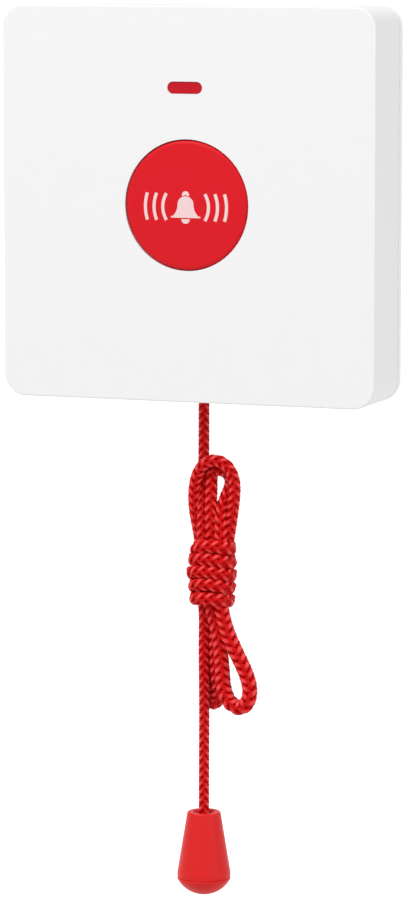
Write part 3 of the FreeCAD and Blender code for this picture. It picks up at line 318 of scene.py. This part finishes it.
def yarn(number, way):
    """Corners of one yarn as (station, side of its section, xyz), with how far out each one lies."""
    start = math.tau * number / yarns_each_way + (math.pi / yarns_each_way if way < 0 else 0.0)
    climb = start + way * math.tau * stations / braid_pitch
    distance = yarn_middle + yarn_wave * way * np.cos(columns / 2 * climb)
    angle = climb + seam_turn
    outward = np.cos(angle)[:, None] * side + np.sin(angle)[:, None] * across
    line = centre + outward * distance[:, None]
    along = directions(line)
    broad = np.cross(along, outward)
    broad /= np.linalg.norm(broad, axis=1)[:, None]
    thick = np.cross(broad, along)
    turn = math.tau * np.arange(yarn_sides) / yarn_sides
    flat = np.cos(turn) * yarn_width / 2
    high = np.sin(turn) * yarn_thickness / 2
    corners = line[:, None] + broad[:, None] * flat[:, None] + thick[:, None] * high[:, None]
    offset = corners - centre[:, None]
    reach = np.linalg.norm(offset, axis=2)
    offset *= fullness[:, None, None]
    offset[..., 2] *= 1 + (press_wide - 1) * wound[:, None]
    offset[..., :2] *= 1 + (press_flat - 1) * wound[:, None, None]
    return centre[:, None] + offset, reach


def braid_half(name, way):
    """The four yarns that climb one way, as one mesh."""
    tubes, reaches, lengthways, around = [], [], [], []
    for number in range(yarns_each_way):
        corners, reach = yarn(number, way)
        tubes.append(corners)
        reaches.append(reach)
        lengthways.append(np.repeat(stations + number * shift_along, yarn_sides))
        around.append(np.tile(np.arange(yarn_sides) / yarn_sides, station_count) + shift_around * number)
    faces = []
    for number in range(yarns_each_way):
        first = number * station_count * yarn_sides
        grid = first + np.arange(station_count * yarn_sides).reshape(station_count, yarn_sides)
        here, ahead = grid[:-1], grid[1:]
        quads = np.stack([here, np.roll(here, -1, 1), np.roll(ahead, -1, 1), ahead], 2)
        faces.extend(quads.reshape(-1, 4).tolist())
        faces.append(grid[0, ::-1].tolist())
        faces.append(grid[-1].tolist())
    mesh = bpy.data.meshes.new(name)
    mesh.from_pydata(np.concatenate(tubes).reshape(-1, 3).tolist(), [], faces)
    mesh.shade_smooth()
    crest = np.concatenate(reaches).ravel()
    for label, values in (
        ("yarn_crest", (crest - crest.min()) / (crest.max() - crest.min())),
        ("yarn_along", np.concatenate(lengthways)),
        ("yarn_around", np.concatenate(around)),
    ):
        mesh.attributes.new(label, "FLOAT", "POINT").data.foreach_set("value", values.astype(np.float32))
    print(name, "faces", len(faces))
    return new_object(name, mesh)


right_yarns = braid_half("cord_right_yarns", 1)
left_yarns = braid_half("cord_left_yarns", -1)

# %% [markdown]
# A braided cord is filled with a few straight threads, which the yarns hide. Without them a little light
# would come through between the yarns. The same spline carries a plain thin tube for them: a curve with a
# round bevel is the quickest way, because nobody sees its surface.

# %% The core inside the braid
core_radius = 0.00078
core_resolution = 6

core_curve = route_curve("cord_core", core_resolution)
for control, full in zip(core_curve.splines[0].points, point_fullness):
    control.radius = full
core_curve.bevel_depth = core_radius
core_curve.bevel_resolution = 2
core_curve.use_fill_caps = True
cord_core = new_object("cord_core", as_mesh(core_curve))
print("core faces", len(cord_core.data.polygons))

# %% [markdown]
# ## Finishes
# Each finish is one small node network. All of them start from the same two steps: a mottle, which lets the
# colour wander a little as real dye and moulding do, and a grain, which roughens the surface. Both read the
# object's own coordinates in metres, so a feature's size can be given in millimetres. A painted picture
# could do the same, but it would need unwrapped surfaces and would blur close up.

# %% Helpers for the finishes


def shader_of(material):
    return material.node_tree.nodes["Principled BSDF"]


def finish(name, colour, roughness, metallic=0.0, specular=0.5):
    """A new material with its shader set to plain values."""
    material = bpy.data.materials.new(name)
    material.use_nodes = True
    shader = shader_of(material)
    shader.inputs["Base Color"].default_value = (*colour, 1.0)
    shader.inputs["Roughness"].default_value = roughness
    shader.inputs["Metallic"].default_value = metallic
    shader.inputs["Specular IOR Level"].default_value = specular
    return material


def add(material, kind, **values):
    """A new node, with its sockets set or linked by name."""
    node = material.node_tree.nodes.new(kind)
    for name, value in values.items():
        socket = node.inputs[name.replace("_", " ")]
        if isinstance(value, bpy.types.NodeSocket):
            material.node_tree.links.new(value, socket)
        else:
            socket.default_value = value
    return node


def noise(material, size_mm, detail=2.0, stretch=(1.0, 1.0, 1.0)):
    """Noise whose blobs are about size_mm wide, longer where stretch is above 1."""
    place = add(material, "ShaderNodeTexCoord")
    mapping = add(material, "ShaderNodeMapping", Vector=place.outputs["Object"])
    mapping.inputs["Scale"].default_value = [1 / (size_mm * mm * by) for by in stretch]
    return add(material, "ShaderNodeTexNoise", Vector=mapping.outputs["Vector"], Scale=1.0, Detail=detail)


noise_low, noise_high = 0.3, 0.7


def between(material, factor, low, high):
    """Factor, whose values lie mostly from noise_low to noise_high, spread from low to high."""
    node = add(material, "ShaderNodeMapRange", Value=factor)
    node.inputs["From Min"].default_value = noise_low
    node.inputs["From Max"].default_value = noise_high
    node.inputs["To Min"].default_value = low
    node.inputs["To Max"].default_value = high
    return node.outputs["Result"]


def mottle(material, size_mm, depth):
    """Lets the base colour wander by depth, darker and lighter."""
    shader = shader_of(material)
    colour = tuple(shader.inputs["Base Color"].default_value)
    source = noise(material, size_mm, 3.0)
    mix = add(material, "ShaderNodeMix")
    mix.data_type = "RGBA"
    # The node also has sockets for numbers and vectors under the same names, so its colour ones go by place.
    darker, lighter, mixed = mix.inputs[6], mix.inputs[7], mix.outputs[2]
    darker.default_value = (*(value * (1 - depth) for value in colour[:3]), 1.0)
    lighter.default_value = (*(min(value * (1 + depth), 1.0) for value in colour[:3]), 1.0)
    material.node_tree.links.new(source.outputs["Fac"], mix.inputs[0])
    material.node_tree.links.new(mixed, shader.inputs["Base Color"])


def grain(material, size_mm, height_mm, stretch=(1.0, 1.0, 1.0), detail=3.0, spread=0.06):
    """A fine relief, with a roughness that follows it."""
    shader = shader_of(material)
    source = noise(material, size_mm, detail, stretch)
    bump = add(material, "ShaderNodeBump", Height=source.outputs["Fac"], Strength=1.0)
    bump.inputs["Distance"].default_value = height_mm * mm
    material.node_tree.links.new(bump.outputs["Normal"], shader.inputs["Normal"])
    rough = shader.inputs["Roughness"].default_value
    result = between(material, source.outputs["Fac"], rough - spread, rough + spread)
    material.node_tree.links.new(result, shader.inputs["Roughness"])


def dress(node, material):
    """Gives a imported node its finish."""
    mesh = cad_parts[node].data
    mesh.materials.clear()
    mesh.materials.append(material)


# %% [markdown]
# ## The cord's finish
# The yarns are bundles of fine bright fibres, dyed one red. The colour is painted darker deep between the
# yarns as painted shade, and lighter on their crests as a painted highlight. Light also creeps a short way
# through the fibres, which keeps the gaps between the yarns a deep red and not black. The fibres run along
# each yarn, so the relief is noise that is short around the yarn and long along it. It needs the coordinates
# that were stored when the yarns were swept.

# %% Red yarn
cord_red = (0.66, 0.004, 0.006)
# The bright red is a painted highlight on the yarns' crests. The deep red is painted shade between the yarns,
# and also the core's own colour.
cord_painted_highlight_red = (0.92, 0.090, 0.095)
cord_core_and_groove_shade_red = (0.56, 0.000, 0.000)
fibre_length_mm = 1.1
fibres_around = 26.0


def yarn_finish(name):
    """The finish of the eight yarns."""
    material = finish(name, cord_red, 0.45, specular=0.22)
    shader = shader_of(material)
    shader.inputs["Subsurface Weight"].default_value = 0.6
    shader.inputs["Subsurface Radius"].default_value = (1.0, 0.04, 0.04)
    shader.inputs["Subsurface Scale"].default_value = 0.5 * mm
    shader.inputs["Specular Tint"].default_value = (1.0, 0.45, 0.43, 1.0)
    crest = add(material, "ShaderNodeAttribute")
    crest.attribute_name = "yarn_crest"
    along = add(material, "ShaderNodeAttribute")
    along.attribute_name = "yarn_along"
    around = add(material, "ShaderNodeAttribute")
    around.attribute_name = "yarn_around"
    # Painted shade and highlight: this ramp darkens each yarn where it lies deep between the others and
    # brightens its crest, by how far out it lies.
    painted_shading = add(material, "ShaderNodeValToRGB", Fac=crest.outputs["Fac"])
    painted_shading.color_ramp.elements[0].position = 0.60
    painted_shading.color_ramp.elements[0].color = (*cord_core_and_groove_shade_red, 1.0)
    painted_shading.color_ramp.elements[1].position = 1.0
    painted_shading.color_ramp.elements[1].color = (*cord_painted_highlight_red, 1.0)
    painted_shading.color_ramp.elements.new(0.90).color = (*cord_red, 1.0)
    material.node_tree.links.new(painted_shading.outputs["Color"], shader.inputs["Base Color"])
    lengthwise = add(material, "ShaderNodeMath", Value=along.outputs["Fac"])
    lengthwise.operation = "MULTIPLY"
    lengthwise.inputs[1].default_value = 1 / (fibre_length_mm * mm)
    sideways = add(material, "ShaderNodeMath", Value=around.outputs["Fac"])
    sideways.operation = "MULTIPLY"
    sideways.inputs[1].default_value = fibres_around
    place = add(material, "ShaderNodeCombineXYZ", X=lengthwise.outputs[0], Y=sideways.outputs[0])
    fibres = add(material, "ShaderNodeTexNoise", Vector=place.outputs[0], Scale=1.0, Detail=2.0)
    bump = add(material, "ShaderNodeBump", Height=fibres.outputs["Fac"], Strength=0.8)
    bump.inputs["Distance"].default_value = 0.05 * mm
    material.node_tree.links.new(bump.outputs["Normal"], shader.inputs["Normal"])
    return material


red_yarn = yarn_finish("red_yarn")
core_thread = finish("core_thread", cord_core_and_groove_shade_red, 0.9, specular=0.05)
mottle(core_thread, 0.6, 0.2)
grain(core_thread, 0.3, 0.05)
for piece, material in ((right_yarns, red_yarn), (left_yarns, red_yarn), (cord_core, core_thread)):
    piece.data.materials.clear()
    piece.data.materials.append(material)
    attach(piece, "pull")
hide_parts("cord_upper", "cord_hank", "cord_lower")

knot_yarn = finish("knot_yarn", cord_red, 0.5)
mottle(knot_yarn, 0.4, 0.25)
grain(knot_yarn, 0.5, 0.12, stretch=(1.0, 1.0, 2.5))
for node in ("cord_top_knot", "cord_end_knot"):
    dress(node, knot_yarn)
print("yarn finish nodes:", len(red_yarn.node_tree.nodes))

# %% [markdown]
# ## The white mouldings
# The cover and the wall plate are moulded in white plastic with a very fine matt texture, the same all
# over. The plate's white is a shade lighter than the cover's, as painted light for the little more light
# that it catches than the cover's side. The pale silicone seal between them lets the joint nearly vanish,
# as it does in the photograph.

# %% White plastic and the seal
white_plastic = finish("white_plastic", (0.90, 0.90, 0.90), 0.38, specular=0.35)
mottle(white_plastic, 9.0, 0.006)
grain(white_plastic, 0.16, 0.0035, spread=0.05)
dress("front_cover", white_plastic)

# Painted light: the plate's white is a shade lighter than the cover's.
plate_plastic = finish("plate_plastic", (0.94, 0.94, 0.94), 0.45, specular=0.4)
mottle(plate_plastic, 7.0, 0.006)
grain(plate_plastic, 0.2, 0.004)
dress("wall_plate", plate_plastic)

seal_rubber = finish("seal_rubber", (0.88, 0.88, 0.88), 0.6, specular=0.3)
mottle(seal_rubber, 1.5, 0.02)
grain(seal_rubber, 0.12, 0.004)
dress("rim_seal", seal_rubber)
print("white finishes:", white_plastic.name, plate_plastic.name, seal_rubber.name)

# %% [markdown]
# ## The red mouldings
# The call button, the knob and its cap are moulded in the same bright red. The button is smooth and nearly
# matt. The knob is a little softer in look. The lamp window is a clear deep red, so it gets a wet gloss.

# %% Red plastics
button_red = finish("button_red", (0.71, 0.005, 0.013), 0.48, specular=0.20)
mottle(button_red, 6.0, 0.012)
grain(button_red, 0.18, 0.004)
dress("call_button", button_red)

knob_red = finish("knob_red", (0.74, 0.015, 0.015), 0.42, specular=0.20)
mottle(knob_red, 4.0, 0.015)
grain(knob_red, 0.15, 0.004)
dress("pull_knob", knob_red)
cap_red = finish("cap_red", (0.74, 0.014, 0.014), 0.45, specular=0.20)
mottle(cap_red, 4.0, 0.015)
grain(cap_red, 0.15, 0.004)
dress("knob_cap", cap_red)

window_red = finish("window_red", (0.56, 0.003, 0.013), 0.22, specular=0.20)
mottle(window_red, 2.0, 0.05)
grain(window_red, 0.5, 0.002, spread=0.03)
dress("light_pipe", window_red)
print("red finishes:", button_red.name, knob_red.name, cap_red.name, window_red.name)

# %% [markdown]
# ## The parts inside
# The case is closed, so none of these parts is seen in the photograph, but they are in the model and get
# the finish that such parts usually have. They fall into three groups. The mouldings differ only in colour
# and gloss, so one loop dresses them all from a short list.

# %% Mouldings inside
inner_mouldings = (
    ("return_ring", "silicone_ring", (0.80, 0.80, 0.78), 0.40, 0.40, 1.2),
    ("tact_switch", "switch_body", (0.030, 0.030, 0.030), 0.50, 0.35, 0.8),
    ("cord_switch", "cord_switch_body", (0.030, 0.030, 0.030), 0.50, 0.35, 0.8),
    ("tact_stem", "tact_stem_plastic", (0.100, 0.100, 0.100), 0.42, 0.40, 0.6),
    ("trip_stem", "trip_stem_plastic", (0.100, 0.100, 0.100), 0.42, 0.40, 0.6),
    ("cell_holder", "holder_plastic", (0.030, 0.030, 0.030), 0.46, 0.40, 2.0),
    ("radio_chip", "chip_resin", (0.020, 0.020, 0.020), 0.62, 0.25, 0.7),
    ("cord_bush", "bush_plastic", (0.85, 0.85, 0.85), 0.45, 0.35, 1.5),
    ("slide_guide", "guide_plastic", (0.80, 0.80, 0.78), 0.48, 0.35, 2.0),
    ("pull_slider", "slider_plastic", (0.80, 0.80, 0.78), 0.44, 0.35, 2.0),
    ("indicator_lamp", "lamp_resin", (0.90, 0.88, 0.80), 0.18, 0.50, 0.8),
)
for node, name, colour, roughness, specular, patch_mm in inner_mouldings:
    moulding = finish(name, colour, roughness, specular=specular)
    mottle(moulding, patch_mm, 0.06)
    grain(moulding, 0.14, 0.004, spread=0.05)
    dress(node, moulding)
print("mouldings inside:", len(inner_mouldings))

# %% [markdown]
# The metal parts are drawn, rolled or pressed, and each of these leaves fine lines in one direction. The
# relief is noise that is stretched along that direction and short across it. Slow patches of a duller tone
# stand for handling and a little tarnish.

# %% Metals inside
inner_metals = (
    ("coin_cell", "cell_steel", (0.62, 0.62, 0.62), 0.26, (14.0, 1.0, 1.0)),
    ("cell_clip", "clip_steel", (0.60, 0.60, 0.58), 0.30, (1.0, 1.0, 14.0)),
    ("crystal_can", "can_metal", (0.65, 0.65, 0.63), 0.28, (1.0, 1.0, 8.0)),
    ("aerial", "aerial_brass", (0.72, 0.50, 0.24), 0.30, (1.0, 8.0, 8.0)),
    ("board_screws", "board_screw_zinc", (0.55, 0.55, 0.55), 0.34, (1.0, 6.0, 1.0)),
    ("guide_screws", "guide_screw_zinc", (0.55, 0.55, 0.55), 0.34, (1.0, 6.0, 1.0)),
    ("pull_spring", "spring_steel", (0.60, 0.60, 0.60), 0.28, (6.0, 6.0, 1.0)),
)
for node, name, colour, roughness, stretch in inner_metals:
    metal = finish(name, colour, roughness, metallic=1.0)
    mottle(metal, 2.5, 0.10)
    grain(metal, 0.08, 0.004, stretch=stretch, spread=0.08)
    dress(node, metal)
print("metal parts inside:", len(inner_metals))

# %% [markdown]
# The circuit board is green because of the lacquer over its copper. Where a track runs under it, the green
# is a shade lighter and the surface a few hundredths of a millimetre higher. A brick pattern gives straight
# tracks with corners at right angles, and it needs far fewer steps than drawing each track.

# %% Circuit board
board_lacquer = finish("board_lacquer", (0.02, 0.16, 0.06), 0.34, specular=0.45)
mottle(board_lacquer, 3.0, 0.10)
board_place = add(board_lacquer, "ShaderNodeTexCoord")
board_turn = add(board_lacquer, "ShaderNodeMapping", Vector=board_place.outputs["Object"])
board_turn.inputs["Rotation"].default_value = (math.radians(90), 0.0, 0.0)
tracks = add(board_lacquer, "ShaderNodeTexBrick", Vector=board_turn.outputs["Vector"], Scale=1 / mm)
tracks.inputs["Color1"].default_value = (0.016, 0.135, 0.050, 1.0)
tracks.inputs["Color2"].default_value = (0.020, 0.155, 0.058, 1.0)
tracks.inputs["Mortar"].default_value = (0.035, 0.240, 0.090, 1.0)
tracks.inputs["Mortar Size"].default_value = 0.11
tracks.inputs["Brick Width"].default_value = 3.4
tracks.inputs["Row Height"].default_value = 0.9
board_shader = shader_of(board_lacquer)
board_lacquer.node_tree.links.new(tracks.outputs["Color"], board_shader.inputs["Base Color"])
track_relief = add(board_lacquer, "ShaderNodeBump", Height=tracks.outputs["Fac"], Strength=1.0)
track_relief.inputs["Distance"].default_value = 0.02 * mm
board_lacquer.node_tree.links.new(track_relief.outputs["Normal"], board_shader.inputs["Normal"])
dress("circuit_board", board_lacquer)
print("board finish nodes:", len(board_lacquer.node_tree.nodes))

# %% [markdown]
# ## The print on the button
# The word on the photographed button isn't copied. In its place, and about as wide, is a plain picture of
# a ringing bell: the bell, its knob and clapper, and three arcs of sound on each side. It is a thin film of
# ink, so each shape is a narrow grid of faces laid on the button's curved front. A ray is sent against the
# button at every corner of the grid, and the film lies a few hundredths of a millimetre above.

# %% Lay shapes of ink on the button
ink_lift = 0.022 * mm
ink_sink = 0.03 * mm
print_level_mm = -0.35
bell_half_mm = 3.4

button_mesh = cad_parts["call_button"].data
button_tree = BVHTree.FromPolygons(
    [vertex.co for vertex in button_mesh.vertices], [face.vertices for face in button_mesh.polygons])
ray_start = 0.05


def on_button(x_mm, z_mm, lift):
    start = Vector((x_mm * mm, -ray_start, (z_mm + print_level_mm) * mm))
    hit = button_tree.ray_cast(start, Vector((0, 1, 0)))[0]
    return (hit.x, hit.y - lift, hit.z)


def ink_strip(mesh, rows):
    """A closed film over rows of points, each row the same number of (x, z) in millimetres."""
    count = len(rows[0])
    top = [[mesh.verts.new(on_button(x, z, ink_lift)) for x, z in row] for row in rows]
    low = [[mesh.verts.new(on_button(x, z, -ink_sink)) for x, z in row] for row in rows]
    for row in range(len(rows) - 1):
        for column in range(count - 1):
            mesh.faces.new((
                top[row][column], top[row][column + 1], top[row + 1][column + 1], top[row + 1][column]))
            mesh.faces.new((
                low[row][column], low[row + 1][column], low[row + 1][column + 1], low[row][column + 1]))
    ring_top = top[0] + [row[-1] for row in top[1:-1]] + top[-1][::-1] + [row[0] for row in top[-2:0:-1]]
    ring_low = low[0] + [row[-1] for row in low[1:-1]] + low[-1][::-1] + [row[0] for row in low[-2:0:-1]]
    for index in range(len(ring_top)):
        ahead = (index + 1) % len(ring_top)
        mesh.faces.new((ring_top[ahead], ring_top[index], ring_low[index], ring_low[ahead]))


def spread(start, end, count):
    return [start + (end - start) * index / (count - 1) for index in range(count)]


def arc_rows(radius, width, start, end, count, centre=(0.0, 0.0)):
    """Two rows of points along an arc, start and end in degrees."""
    angles = [math.radians(angle) for angle in spread(start, end, count)]
    return [[(centre[0] + (radius + out) * math.cos(angle), centre[1] + (radius + out) * math.sin(angle))
             for angle in angles] for out in (-width / 2, width / 2)]


print("faces under the ink:", len(button_mesh.polygons))

# %% [markdown]
# The bell is a stack of rows, each as wide as the bell is there: a dome above the shoulder and a skirt below
# it that flares out to the lip. The knob and the clapper are short arcs as thick as they are wide, and the
# sound is three arcs on each side, which span less of the circle the farther out they lie.

# %% The bell and its sound
shoulder_mm, dome_mm, waist_mm = 0.6, 1.75, 1.85
skirt_mm, flare_mm, flare_power = 2.6, 1.15, 2.4
bell_top_mm, bell_foot_mm, lip_foot_mm = 2.33, -2.0, -2.35
bell_rows, bell_columns = 22, 9
sound_width_mm = 0.72
sound_arcs = ((5.3, 33.0), (7.35, 23.5), (9.4, 18.3))


def bell_half_width(level):
    """Half the width of the bell at a level, from its dome to its flared lip."""
    if level > shoulder_mm:
        return waist_mm * math.sqrt(max(1 - ((level - shoulder_mm) / dome_mm) ** 2, 0.02))
    flare = max((shoulder_mm - level) / skirt_mm, 0.0)
    return waist_mm + flare_mm * flare ** flare_power


def ink_row(half_width, level):
    return [(x, level) for x in spread(-half_width, half_width, bell_columns)]


ink = bmesh.new()
bell_levels = spread(bell_top_mm, bell_foot_mm, bell_rows)
ink_strip(ink, [ink_row(bell_half_width(level), level) for level in bell_levels])
ink_strip(ink, [ink_row(bell_half_mm, level) for level in (bell_foot_mm, lip_foot_mm)])
ink_strip(ink, arc_rows(0.42, 0.84, 200, -20, 14, (0.0, 2.62)))
ink_strip(ink, arc_rows(0.50, 1.0, 180, 360, 14, (0.0, -2.62)))
for radius, reach in sound_arcs:
    for middle in (0.0, 180.0):
        ink_strip(ink, arc_rows(radius, sound_width_mm, middle - reach, middle + reach, 20))
bmesh.ops.recalc_face_normals(ink, faces=ink.faces)
ink_mesh = bpy.data.meshes.new("bell_print")
ink.to_mesh(ink_mesh)
ink.free()
bell_print = new_object("bell_print", ink_mesh)
print_ink = finish("print_ink", (0.91, 0.66, 0.66), 0.45, specular=0.3)
mottle(print_ink, 0.5, 0.04)
grain(print_ink, 0.12, 0.003)
ink_mesh.materials.append(print_ink)
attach(bell_print, "button")
print("ink faces", len(ink_mesh.polygons))

# %% [markdown]
# ## Light, floor and background
# The photograph is lit softly from the front, above and a little from the left: the top edge is brightest,
# the front nearly as bright and the right side a step darker. A pale sky gives about half of the light, from
# all sides. It looks white to the camera, in reflections and through clear things, but that white isn't
# light on the object: Light Path tells the rays apart, so the sky lights it at a lower level.

# %% Sky


def looked_at(tree):
    """1 for rays from the camera, in reflections and through clear things, and 0 for light on the object."""
    path = tree.nodes.new("ShaderNodeLightPath")
    level = path.outputs["Is Camera Ray"]
    for kind in ("Is Glossy Ray", "Is Transmission Ray"):
        either = tree.nodes.new("ShaderNodeMath")
        either.operation = "MAXIMUM"
        tree.links.new(level, either.inputs[0])
        tree.links.new(path.outputs[kind], either.inputs[1])
        level = either.outputs[0]
    return level


sky_light = 0.487
world = bpy.data.worlds.new("sky")
bpy.context.scene.world = world
world.use_nodes = True
sky_nodes = world.node_tree.nodes
sky_links = world.node_tree.links
sky_nodes.clear()
sky_level = sky_nodes.new("ShaderNodeMapRange")
sky_level.inputs["To Min"].default_value = sky_light
sky_level.inputs["To Max"].default_value = 1.0
sky_links.new(looked_at(world.node_tree), sky_level.inputs["Value"])
sky_shader = sky_nodes.new("ShaderNodeBackground")
sky_shader.inputs["Color"].default_value = (1.0, 1.0, 1.0, 1.0)
sky_links.new(sky_level.outputs["Result"], sky_shader.inputs["Strength"])
sky_output = sky_nodes.new("ShaderNodeOutputWorld")
sky_links.new(sky_shader.outputs[0], sky_output.inputs["Surface"])
print("sky light:", sky_light)

# %% [markdown]
# Two broad lamps tilt the even light of the sky. The large one stands in front, high and a little to the
# left, and makes the front brighter than the side. The one at the right keeps the side from going grey. A
# broad lamp is used, and not a sun or a spot, because its shadows fade softly, as in the photograph.

# %% Lamps


def soft_lamp(name, place, target, width, power):
    """A square lamp that shines from place towards target."""
    data = bpy.data.lights.new(name, "AREA")
    data.shape = "SQUARE"
    data.size = width
    data.energy = power
    lamp = new_object(name, data)
    lamp.location = place
    lamp.rotation_euler = (Vector(target) - Vector(place)).to_track_quat("-Z", "Y").to_euler()


object_middle = (0.0, 0.0, -0.05)
soft_lamp("key_lamp", (-0.41, -0.87, 1.10), object_middle, 0.9, 13.4)
soft_lamp("fill_lamp", (1.1, -0.35, 0.45), object_middle, 0.6, 4.0)

# %% [markdown]
# The floor lies a few millimetres below the knob and throws a little light back up at it. It takes the
# object's shadow like any matt floor. To the camera it also glows, just enough to reach the photograph's
# white, and the same Light Path trick keeps that glow off the object.

# %% Floor
floor_level = -0.1590
floor_half = 14.0
floor_mesh = bpy.data.meshes.new("floor")
floor_mesh.from_pydata(
    [(-floor_half, -floor_half, floor_level), (floor_half, -floor_half, floor_level),
     (floor_half, floor_half, floor_level), (-floor_half, floor_half, floor_level)], [], [(0, 1, 2, 3)])
floor = new_object("floor", floor_mesh)
floor_glow = 0.68
pale_floor = finish("pale_floor", (0.70, 0.70, 0.70), 0.9, specular=0.0)
floor_tree = pale_floor.node_tree
glow = add(pale_floor, "ShaderNodeMath")
glow.operation = "MULTIPLY"
glow.inputs[1].default_value = floor_glow
floor_tree.links.new(looked_at(floor_tree), glow.inputs[0])
shader_of(pale_floor).inputs["Emission Color"].default_value = (1.0, 1.0, 1.0, 1.0)
floor_tree.links.new(glow.outputs[0], shader_of(pale_floor).inputs["Emission Strength"])
floor_mesh.materials.append(pale_floor)
print("floor at", floor_level, "glow", floor_glow)

# %% [markdown]
# The cord's length is the length of its line. It leaves through the bush in the bottom wall, hangs limp, and
# its far end is in the knob. The last step sets the view transform to Standard.

# %% Finish
view = bpy.context.scene.view_settings
view.view_transform = "Standard"
